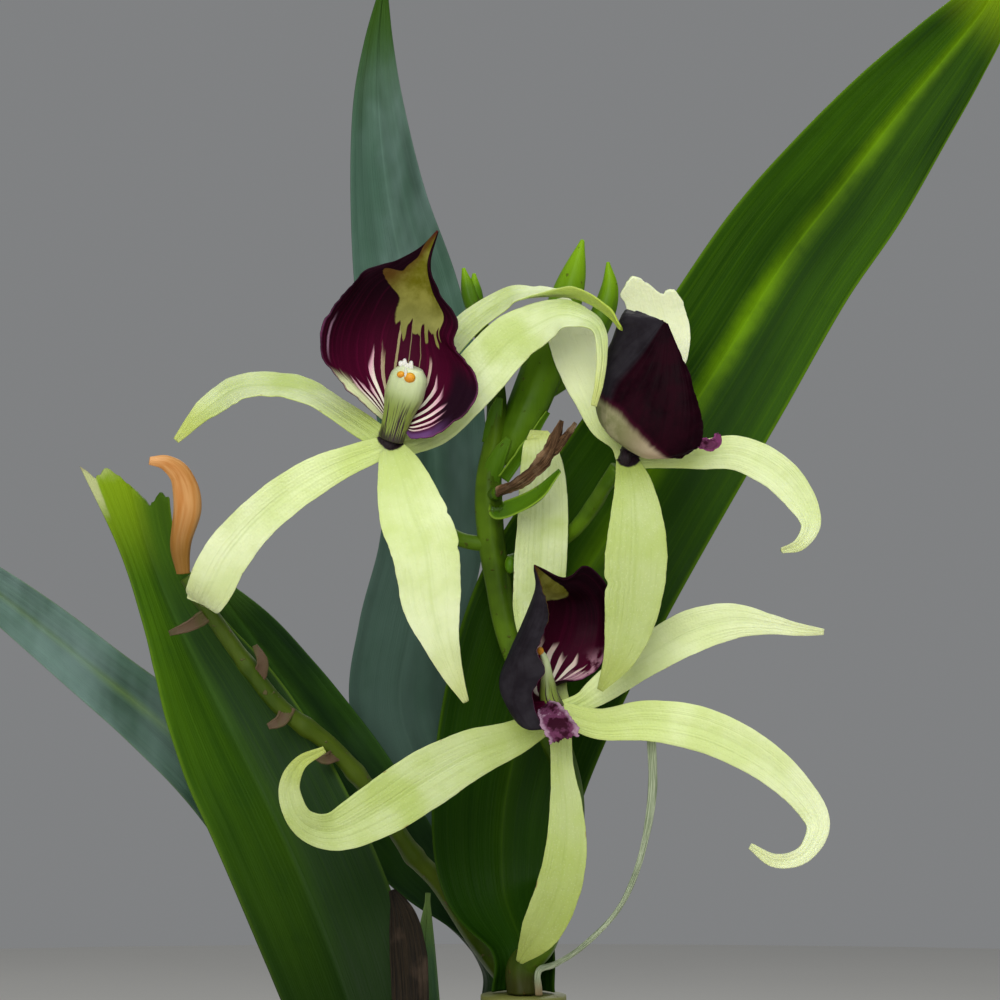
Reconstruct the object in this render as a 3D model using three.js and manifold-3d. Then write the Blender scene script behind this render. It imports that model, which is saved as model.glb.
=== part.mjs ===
// Potted encyclia orchid: a clay pot of bark, four pseudobulbs on a creeping rhizome, strap leaves,
// a flower stem with three open blooms, buds and a withered bloom, and last season's spent stem.
// Millimetres, +Z up. The origin is the middle of the pot's underside, and the front looks along -Y.
import * as THREE from "three";
import { mergeVertices } from "three/addons/utils/BufferGeometryUtils.js";
import Module from "manifold-3d";

const wasm = await Module();
wasm.setup();

// ---- driving dimensions ----
const GAP = 0.3; // clearance between pieces that rest on or in each other
const POT = {
  height: 115,
  rimRadius: 65,
  rimDepth: 22,
  rimStep: 3.5,
  footRadius: 45,
  wall: 6,
  floor: 7,
  chamfer: 1.5,
  sides: 32,
  holes: 3,
  holeRadius: 5,
  holeRing: 24,
};
const BARK = { level: 101, chip: 13, lift: 2.6, tilt: 0.28, seam: 1.6, rings: 12, sectors: 28 };
const RHIZOME = { height: 99, radius: 3.6, collarRadius: 5.6, collarTop: 104 };
const ROOT_RADIUS = 1.1;
const NECK_RADIUS = 6.4; // flat top of a pseudobulb, where its leaves and stem stand
const LEAF_RING = 4.3; // radius of the ring in which leaf feet clasp the stem
const SPRAY_HEIGHT = 255; // height of the middle of the flower spray
const SIGHT = 600; // distance from which the spray is looked at
const VIEW_STEP = 0.15; // step of the lips' nets: the spray is looked at in a square of 1000 steps
const LEAF_THICKNESS = 1;
const TEPAL_THICKNESS = 0.8;
const BRACT_THICKNESS = 0.7;
const HUB_RADIUS = 2.1; // where the five tepals of a bloom meet
const THINNEST = 0.8; // least width of a blade

// Pseudobulbs: foot and neck as [x, y], height of the flat neck, and greatest radius.
const BULBS = {
  front: { foot: [2, -1], neck: [3.5, -2], top: 181, radius: 10.6 },
  back: { foot: [0, 27], neck: [2, 28], top: 175, radius: 10.2 },
  left: { foot: [-19, -12], neck: [-17, -14], top: 157, radius: 9.8 },
  far: { foot: [-29, 16], neck: [-27, 14], top: 170, radius: 9.6 },
};
const YOUNG_SHOOT = [-8.5, 9.5];

// ---- numbers along curves ----
const DEGREE = Math.PI / 180;
const FRONT = new THREE.Vector3(0, -1, 0);
const vector = (row) => new THREE.Vector3(row[0], row[1], row[2]);

// A row [across, up, back, ...] as seen from the front, measured from the middle of the spray, becomes
// [x, y, z, ...]. Going back moves the point along its line of sight.
function seen([across, up, back, ...rest]) {
  const spread = 1 + back / SIGHT;
  return [across * spread, back, SPRAY_HEIGHT + up * spread, ...rest];
}

// A point of a lip's net: [steps to the right, steps down, millimetres back].
const viewed = ([right, down, back]) => seen([(right - 500) * VIEW_STEP, (500 - down) * VIEW_STEP, back]);

// A ragged end: the share cut off a blade's length at places across it, straight between the places.
const ragged = (places) => (s) => {
  const next = Math.max(1, places.findIndex(([place]) => place >= s));
  const [from, before] = places[next - 1];
  const [to, after] = places[next];
  return 1 - before - ((after - before) * (s - from)) / (to - from);
};

// Uniform Catmull-Rom spline through rows of numbers, at t from 0 to 1, with mirrored end rows.
function along(rows, t) {
  const last = rows.length - 1;
  const i = Math.min(Math.floor(t * last), last - 1);
  const f = t * last - i;
  const b = rows[i];
  const c = rows[i + 1];
  const a = rows[i - 1] ?? b.map((v, k) => 2 * v - c[k]);
  const d = rows[i + 2] ?? c.map((v, k) => 2 * v - b[k]);
  return b.map(
    (v, k) =>
      0.5 *
      (2 * v +
        (c[k] - a[k]) * f +
        (2 * a[k] - 5 * v + 4 * c[k] - d[k]) * f ** 2 +
        (3 * (v - c[k]) + d[k] - a[k]) * f ** 3),
  );
}

function tangentAt(rows, t) {
  const step = 1e-3;
  const ahead = vector(along(rows, Math.min(1, t + step)));
  return ahead.sub(vector(along(rows, Math.max(0, t - step)))).normalize();
}

// Repeatable draw from 0 to 1 for a cell of the bark.
function draw(i, j, k) {
  const v = Math.sin(i * 127.1 + j * 311.7 + k * 74.7) * 43758.5453;
  return v - Math.floor(v);
}

// ---- closed meshes ----
function meshOf(points, triangles) {
  const geometry = new THREE.BufferGeometry();
  geometry.setAttribute("position", new THREE.Float32BufferAttribute(points.flatMap((p) => p.toArray()), 3));
  geometry.setIndex(triangles);
  return geometry;
}

// Rings of equally many points, closed by a fan at each end. Points run anticlockwise seen from the last ring.
function stack(rings) {
  const sides = rings[0].length;
  const triangles = [];
  for (let i = 0; i + 1 < rings.length; i++) {
    for (let j = 0; j < sides; j++) {
      const a = i * sides + j;
      const b = i * sides + ((j + 1) % sides);
      triangles.push(a, b, b + sides, a, b + sides, a + sides);
    }
  }
  const top = (rings.length - 1) * sides;
  for (let j = 1; j + 1 < sides; j++) {
    triangles.push(0, j + 1, j, top, top + j, top + j + 1);
  }
  return meshOf(rings.flat(), triangles);
}

// A round stem through rows [x, y, z, radius].
function stem(rows, { steps = 3 * (rows.length - 1), sides = 8, flat = 1 } = {}) {
  const rings = [];
  const start = tangentAt(rows, 0);
  let across = new THREE.Vector3(1, 0, 0).addScaledVector(start, -start.x).normalize();
  for (let i = 0; i <= steps; i++) {
    const t = i / steps;
    const row = along(rows, t);
    const tangent = tangentAt(rows, t);
    across = across.addScaledVector(tangent, -across.dot(tangent)).normalize();
    const deep = tangent.clone().cross(across);
    rings.push(
      Array.from({ length: sides }, (_, j) => {
        const turn = (2 * Math.PI * j) / sides;
        return vector(row)
          .addScaledVector(across, row[3] * Math.cos(turn))
          .addScaledVector(deep, row[3] * flat * Math.sin(turn));
      }),
    );
    across = across.clone();
  }
  return stack(rings);
}

// The middle surface of a blade at t along it and s from -1 to 1 across it, and the face normal there.
// A row is [x, y, z, width, roll, fold, cup, sweep]: roll turns the face about the blade's length, away from
// `toward`; fold raises both halves from the midrib; cup bends them further up to the margin; sweep draws
// the margins back towards the foot. Angles are in degrees.
function bladePoint(rows, t, s, toward) {
  const row = along(rows, t);
  const [width, roll = 0, fold = 0, cup = 0, sweep = 0] = row.slice(3);
  const tangent = tangentAt(rows, t);
  const face = toward.clone().addScaledVector(tangent, -toward.dot(tangent)).normalize();
  face.applyAxisAngle(tangent, roll * DEGREE);
  const side = tangent.clone().cross(face).multiplyScalar(Math.sign(s));
  const half = Math.max(width, THINNEST) / 2;
  const share = Math.abs(s);
  const rise = fold * DEGREE;
  const bend = Math.max(Math.abs(cup * DEGREE), 1e-3) * (cup < 0 ? -1 : 1);
  const slope = rise + bend * share;
  const point = vector(row)
    .addScaledVector(side, (half * (Math.sin(slope) - Math.sin(rise))) / bend)
    .addScaledVector(face, (half * (Math.cos(rise) - Math.cos(slope))) / bend)
    .addScaledVector(tangent, -sweep * share ** 2);
  const normal = face.clone().multiplyScalar(Math.cos(slope)).addScaledVector(side, -Math.sin(slope));
  return { point, normal: s === 0 ? face : normal };
}

// The surface through a net of points, at t along it and s across it, and the face normal there: a spline
// down each column of the net, then one across them.
function netPoint(net, t, s) {
  const at = (share, side) => {
    const line = along(net.map((row) => row.flat()), Math.min(1, Math.max(0, share)));
    const columns = net[0].map((_, k) => line.slice(3 * k, 3 * k + 3));
    return vector(along(columns, Math.min(1, Math.max(0, (side + 1) / 2))));
  };
  const step = 1e-3;
  const wide = at(t, s + step).sub(at(t, s - step));
  const long = at(t + step, s).sub(at(t - step, s));
  return { point: at(t, s), normal: wide.cross(long).normalize() };
}

// A closed blade. `end` gives, for s, the share of the length at which it ends, so that a torn tip can be cut.
function blade(rows, { steps = 12, cells = 4, thickness = TEPAL_THICKNESS, toward = FRONT, end = () => 1 } = {}) {
  return sheet((t, s) => bladePoint(rows, t * end(s), s, toward), steps, cells, thickness);
}

// A closed sheet: a middle surface, for t along it and s from -1 to 1 across it, thickened to both faces.
function sheet(surface, steps, cells, thickness) {
  const points = [];
  for (const sign of [1, -1]) {
    for (let i = 0; i <= steps; i++) {
      for (let j = 0; j <= cells; j++) {
        const { point, normal } = surface(i / steps, (2 * j) / cells - 1);
        points.push(point.addScaledVector(normal, (sign * thickness) / 2));
      }
    }
  }
  const line = cells + 1;
  const under = (steps + 1) * line;
  const triangles = [];
  for (let i = 0; i < steps; i++) {
    for (let j = 0; j < cells; j++) {
      const a = i * line + j;
      const [b, c, d] = [a + 1, a + line + 1, a + line];
      triangles.push(a, b, c, a, c, d);
      triangles.push(under + a, under + c, under + b, under + a, under + d, under + c);
    }
  }
  const rim = (a, b) => triangles.push(b, a, under + a, b, under + a, under + b);
  for (let i = 0; i < steps; i++) {
    rim((i + 1) * line, i * line);
    rim(i * line + cells, (i + 1) * line + cells);
  }
  for (let j = 0; j < cells; j++) {
    rim(j, j + 1);
    rim(steps * line + j + 1, steps * line + j);
  }
  return meshOf(points, triangles);
}

// ---- joining and cutting ----
function solidOf(geometry) {
  const plain = geometry.clone();
  plain.deleteAttribute("normal");
  plain.deleteAttribute("uv");
  const merged = mergeVertices(plain, 1e-3);
  return new wasm.Manifold(
    new wasm.Mesh({
      numProp: 3,
      vertProperties: new Float32Array(merged.attributes.position.array),
      triVerts: new Uint32Array(merged.index.array),
    }),
  );
}

function geometryOf(solid) {
  const mesh = solid.getMesh();
  const geometry = new THREE.BufferGeometry();
  geometry.setAttribute("position", new THREE.BufferAttribute(new Float32Array(mesh.vertProperties), 3));
  geometry.setIndex(new THREE.BufferAttribute(new Uint32Array(mesh.triVerts), 1));
  return geometry;
}

const fuse = (geometries) => geometryOf(geometries.map(solidOf).reduce((all, one) => all.add(one)));
const cut = (geometry, tools) => geometryOf(tools.map(solidOf).reduce((rest, tool) => rest.subtract(tool), solidOf(geometry)));

function ball(centre, radius) {
  return new THREE.IcosahedronGeometry(radius, 1).translate(centre.x, centre.y, centre.z);
}

// ---- materials ----
function finish(colour, roughness) {
  return new THREE.MeshStandardMaterial({ color: colour, roughness, metalness: 0, side: THREE.DoubleSide });
}

const MATERIALS = {
  clay: finish(0xb5683f, 0.9),
  bark: finish(0x5d3c26, 0.95),
  bulb: finish(0x6f8a3c, 0.55),
  root: finish(0xa9ad92, 0.8),
  leaf: finish(0x2f5a1e, 0.45),
  greyLeaf: finish(0x5a7a68, 0.5),
  stem: finish(0x6f9a2a, 0.5),
  tepal: finish(0xd3e58c, 0.5),
  lip: finish(0x3a0a22, 0.35),
  column: finish(0xdfe8c0, 0.4),
  dry: finish(0x8d5f3c, 0.85),
  orange: finish(0xe39a4a, 0.6),
  strand: finish(0xa8b59a, 0.7),
};

const plant = new THREE.Group();

function add(name, geometry, material) {
  const mesh = new THREE.Mesh(geometry, material);
  mesh.name = name;
  plant.add(mesh);
}

// ---- pot, bark and roots ----
const innerRadius = (z) => {
  const low = POT.footRadius - POT.wall;
  return low + ((POT.rimRadius - POT.wall - low) * (z - POT.floor)) / (POT.height - POT.floor);
};

function pot() {
  const bodyTop = POT.rimRadius - POT.rimStep;
  const rimFoot = POT.height - POT.rimDepth;
  const profile = [
    [0, 0],
    [POT.footRadius - POT.chamfer, 0],
    [POT.footRadius, POT.chamfer],
    [bodyTop - 1, rimFoot],
    [POT.rimRadius - 1, rimFoot + POT.chamfer],
    [POT.rimRadius, POT.height - POT.chamfer],
    [POT.rimRadius - POT.chamfer, POT.height],
    [POT.rimRadius - POT.wall, POT.height],
    [POT.footRadius - POT.wall, POT.floor],
    [0, POT.floor],
  ].map(([r, z]) => new THREE.Vector2(r, z));
  const shell = new THREE.LatheGeometry(profile, POT.sides).rotateX(Math.PI / 2);
  const holes = Array.from({ length: POT.holes }, (_, i) => {
    const turn = (2 * Math.PI * (i + 0.25)) / POT.holes;
    return new THREE.CylinderGeometry(POT.holeRadius, POT.holeRadius, 3 * POT.floor, 12)
      .rotateX(Math.PI / 2)
      .translate(POT.holeRing * Math.cos(turn), POT.holeRing * Math.sin(turn), POT.floor / 2);
  });
  return cut(shell, holes);
}

// Height of the bark: chips are cells round jittered seeds, each a tilted plate, with a sunken seam between.
function barkHeight(x, y) {
  const column = Math.round(x / BARK.chip);
  const line = Math.round(y / BARK.chip);
  const seeds = [];
  for (let i = column - 2; i <= column + 2; i++) {
    for (let j = line - 2; j <= line + 2; j++) {
      const dx = x - (i + 0.8 * draw(i, j, 1) - 0.4) * BARK.chip;
      const dy = y - (j + 0.8 * draw(i, j, 2) - 0.4) * BARK.chip;
      seeds.push({ distance: Math.hypot(dx, dy), dx, dy, i, j });
    }
  }
  seeds.sort((a, b) => a.distance - b.distance);
  const [near, next] = seeds;
  const tilt = (k) => (2 * draw(near.i, near.j, k) - 1) * BARK.tilt;
  const seam = Math.max(0, 1 - (next.distance - near.distance) / 3);
  return (
    BARK.level +
    (2 * draw(near.i, near.j, 3) - 1) * BARK.lift +
    tilt(4) * near.dx +
    tilt(5) * near.dy -
    seam * BARK.seam
  );
}

function barkFill() {
  const { rings, sectors } = BARK;
  const reach = innerRadius(BARK.level) * Math.cos(Math.PI / POT.sides) - 2 * GAP;
  const at = (radius, j, z) => {
    const turn = (2 * Math.PI * j) / sectors;
    return new THREE.Vector3(radius * Math.cos(turn), radius * Math.sin(turn), z);
  };
  const points = [new THREE.Vector3(0, 0, barkHeight(0, 0)), new THREE.Vector3(0, 0, POT.floor + GAP)];
  for (let i = 1; i <= rings; i++) {
    for (let j = 0; j < sectors; j++) {
      const p = at((reach * i) / rings, j, 0);
      points.push(p.setZ(i === rings ? BARK.level - BARK.lift : barkHeight(p.x, p.y)));
    }
  }
  for (let j = 0; j < sectors; j++) {
    points.push(at(innerRadius(POT.floor) * Math.cos(Math.PI / POT.sides) - 2 * GAP, j, POT.floor + GAP));
  }
  const triangles = [];
  for (let j = 0; j < sectors; j++) {
    const next = (j + 1) % sectors;
    triangles.push(0, 2 + j, 2 + next);
    for (let i = 0; i < rings; i++) {
      const [a, b] = [2 + i * sectors + j, 2 + i * sectors + next];
      triangles.push(a, a + sectors, b + sectors, a, b + sectors, b);
    }
    triangles.push(1, 2 + rings * sectors + next, 2 + rings * sectors + j);
  }
  return meshOf(points, triangles);
}

// The creeping rhizome with a collar under each shoot, and roots that run out over the bark. `grow` fattens
// everything, for the bed that it needs in the bark.
function rhizome(grow = 0) {
  const { height, radius, collarRadius, collarTop } = RHIZOME;
  const feet = [...Object.values(BULBS).map((bulb) => bulb.foot), YOUNG_SHOOT];
  const [front, back, left, far] = feet;
  const creep = (...places) => stem(places.map(([x, y]) => [x, y, height, radius + grow]), { steps: 7, sides: 7 });
  const parts = [
    creep([-36, 24], far, [-15, 24], back, [6, 12], front, [10, -12]),
    creep(far, [-26, 2], left, [-15, -22]),
    creep([-16, 23], YOUNG_SHOOT, [-3, 2]),
  ];
  for (const [x, y] of feet) {
    const tall = collarTop - height + grow;
    parts.push(
      new THREE.CylinderGeometry(collarRadius + grow, collarRadius + grow, 2 * tall, 9)
        .rotateX(Math.PI / 2)
        .translate(x, y, height),
    );
  }
  const lie = BARK.level + BARK.lift;
  const reach = innerRadius(BARK.level) - 5;
  const starts = [front, [6, 12], back, back, far, left, left];
  starts.forEach(([x, y], i) => {
    const turn = (-75 + (360 / starts.length) * i) * DEGREE;
    const [c, s] = [Math.cos(turn), Math.sin(turn)];
    const sway = 5 * (draw(i, 7, 1) - 0.5);
    const r = ROOT_RADIUS + grow;
    const bend = (share, up) => [
      x + (reach * c - x) * share - s * sway * Math.sin(3 * Math.PI * share),
      y + (reach * s - y) * share + c * sway * Math.sin(3 * Math.PI * share),
      up,
      r,
    ];
    parts.push(stem([bend(0, height), bend(0.25, lie), bend(0.5, lie + 1), bend(0.75, lie), bend(1, height)], { steps: 9, sides: 5 }));
  });
  return fuse(parts);
}

// A pear-shaped pseudobulb with low ribs, a little flattened from front to back, ending in a flat neck.
function bulb({ foot, neck, top, radius }, i) {
  const base = RHIZOME.collarTop + GAP;
  const profile = [[5.2], [radius * 0.86], [radius], [radius * 0.97], [radius * 0.84], [NECK_RADIUS * 1.06], [NECK_RADIUS]];
  const sides = 14;
  const rings = Array.from({ length: 9 }, (_, k) => {
    const t = k / 8;
    const [wide] = along(profile, t);
    const lean = t * t * (3 - 2 * t);
    return Array.from({ length: sides }, (_, j) => {
      const turn = (2 * Math.PI * j) / sides;
      const rib = 1 + 0.03 * Math.sin(Math.PI * t) * Math.cos(7 * turn + i);
      return new THREE.Vector3(
        foot[0] + (neck[0] - foot[0]) * lean + wide * rib * Math.cos(turn),
        foot[1] + (neck[1] - foot[1]) * lean + wide * rib * (1 - 0.14 * Math.sin(Math.PI * t)) * Math.sin(turn),
        base + (top - base) * t,
      );
    });
  });
  return stack(rings);
}

add("pot", pot(), MATERIALS.clay);
add("bark_mix", cut(barkFill(), [rhizome(GAP)]), MATERIALS.bark);
add("rhizome_and_roots", rhizome(), MATERIALS.root);
Object.entries(BULBS).forEach(([name, shape], i) => add(`pseudobulb_${name}`, bulb(shape, i), MATERIALS.bulb));

// ---- leaves ----
// The two lowest rows of a leaf that clasps the neck of a bulb. `turn` is the side it stands on: 0 behind the
// stem, 90 to its left; its face looks at the stem.
function leafFoot({ neck, top }, turn, { width = 11, cup = 70, ring = LEAF_RING } = {}) {
  const x = neck[0] - ring * Math.sin(turn * DEGREE);
  const y = neck[1] + ring * Math.cos(turn * DEGREE);
  return [
    [x, y, top + GAP, width, turn, 0, cup],
    [x, y, top + GAP + 6, width, turn, 2, cup - 8],
  ];
}

// Rows of a leaf above its foot: [across, up, back, width, roll, fold, cup].
const LEAVES = {
  leaf_right: {
    foot: leafFoot(BULBS.front, 0, { width: 12 }),
    rows: [
      [0.5, -58, 9.5, 19.5, 0, 10, 15],
      [1.5, -45, 10.5, 22, 0, 12, 8],
      [5.5, -30, 12.5, 25, 0, 10, 6],
      [12, -15, 14.5, 26, 0, 8, 5],
      [21.8, 2, 17, 25.5, 0, 8, 4],
      [32.3, 19.2, 22, 24.8, 0, 8, 4],
      [42.6, 35.6, 27, 23.2, 0, 8, 4],
      [51.4, 47, 31, 21.6, 0, 8, 3],
      [59.4, 57.4, 34, 18, 0, 8, 3],
      [66.8, 66.4, 36, 13.6, 0, 8, 2],
      [72.8, 74, 37.5, 8.8, 0, 8, 1],
      [77, 82, 39, 1.2, 0, 8, 0],
    ],
    material: MATERIALS.leaf,
  },
  leaf_back: {
    foot: leafFoot(BULBS.back, -90, { width: 10 }),
    rows: [
      [0, -60, 33, 12, -40, 6, 35],
      [-9, -46, 33, 14.5, -10, 8, 15],
      [-14.8, -32, 32, 16, 0, 8, 8],
      [-13.5, -20, 31, 16.5, 0, 8, 8],
      [-10.5, -8, 30, 16.5, 0, 8, 8],
      [-9.6, 4, 30, 16.5, 0, 8, 8],
      [-11, 17, 31, 17.5, 0, 8, 8],
      [-13.9, 31, 32, 16.8, 0, 8, 8],
      [-16.7, 45, 33, 12.4, 0, 10, 8],
      [-18.2, 58.5, 34, 8.4, 0, 12, 6],
      [-18.2, 68.3, 34.5, 4.8, 0, 12, 4],
      [-17.4, 77.5, 35, 1, 0, 10, 0],
    ],
    material: MATERIALS.greyLeaf,
  },
  leaf_inner_left: {
    foot: leafFoot(BULBS.back, 65, { width: 8 }),
    rows: [
      [-7, -62, 29, 10, 50, 6, 35],
      [-13.8, -53.7, 27, 11.4, 20, 10, 15],
      [-19.5, -45, 24, 12.8, 5, 12, 8],
      [-26.3, -35.3, 21.5, 12.8, 0, 12, 6],
      [-32.3, -27, 20, 11.2, 0, 12, 5],
      [-38.3, -18.8, 19, 8.2, 0, 12, 4],
      [-44.3, -10.5, 18.5, 1.2, 0, 10, 0],
    ],
    material: MATERIALS.leaf,
  },
  leaf_torn: {
    foot: leafFoot(BULBS.left, 20),
    rows: [
      [-18.8, -86.3, -6.5, 17, 20, 16, 30],
      [-22.2, -77, -3, 21.5, 20, 18, 10],
      [-25.6, -67.5, 0, 23.5, 20, 20, 4],
      [-30, -56.5, 4.5, 24, 20, 20, 2],
      [-34.8, -46, 8.5, 23.5, 20, 20, 0],
      [-39, -37.5, 10.5, 22.5, 20, 20, 0],
      [-43, -29.5, 11.5, 19.5, 20, 20, 0],
      [-46.8, -22, 11.5, 14.5, 20, 20, 0],
      [-49.8, -15.5, 11, 10.8, 20, 20, 0],
      [-53.2, -6, 10.5, 9.4, 10, 20, 0],
      [-56.6, 7.2, 10, 14, 0, 12, 0],
    ],
    material: MATERIALS.leaf,
    end: ragged([
      [-1, 0.002],
      [-0.78, 0.0165],
      [-0.45, 0.0092],
      [0.42, 0.052],
      [0.76, 0.0415],
      [1, 0.05],
    ]),
  },
  leaf_far_left: {
    foot: leafFoot(BULBS.far, 10),
    rows: [
      [-28.5, -69, 20.5, 12, 10, 8, 25],
      [-32, -58, 22, 12.5, 8, 12, 8],
      [-37.2, -48.5, 22.5, 12.5, 5, 12, 6],
      [-44, -40, 22, 12, 0, 12, 5],
      [-52, -32.6, 20.5, 11, 0, 12, 5],
      [-60.4, -25.8, 19, 9.8, 0, 12, 4],
      [-69.3, -18.6, 17, 8.6, 0, 12, 3],
      [-78.6, -11.6, 15, 6.6, 0, 12, 2],
      [-88, -5.6, 13, 4, 0, 12, 2],
      [-96, -1.5, 12, 1, 0, 10, 0],
    ],
    material: MATERIALS.greyLeaf,
  },
};

for (const [name, { foot, rows, material, end }] of Object.entries(LEAVES)) {
  const spine = [...foot, ...rows.map(seen)];
  add(name, blade(spine, { steps: 17, cells: 6, thickness: LEAF_THICKNESS, end }), material);
}

// The new growth, still folded into a narrow sheath, stands on its own collar.
const sheathFoot = RHIZOME.collarTop + GAP;
add(
  "young_leaf",
  blade(
    [
      [...YOUNG_SHOOT, sheathFoot, 8, 0, 0, 80],
      [...YOUNG_SHOOT, sheathFoot + 10, 8.5, 0, 0, 75],
      [-10.5, 10, 150, 8, 0, 10, 50],
      [-11.8, 10.5, 175, 6.5, 0, 20, 20],
      [-11, 11, 195, 1, 0, 20, 0],
    ],
    { steps: 10, cells: 4, thickness: LEAF_THICKNESS },
  ),
  MATERIALS.leaf,
);
add(
  "dry_leaf_stub",
  blade(
    [
      ...leafFoot(BULBS.left, -120, { width: 6, cup: 40 }),
      seen([-13, -82, -14, 6.5, -40, 0, 30]),
      seen([-13.4, -71, -12, 6, -20, 0, 25]),
      seen([-14.5, -63, -10.5, 4.4, 10, 0, 20]),
      seen([-16.2, -58.5, -9.5, 1, 30, 0, 0]),
    ],
    { steps: 10, thickness: BRACT_THICKNESS },
  ),
  MATERIALS.dry,
);

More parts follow.
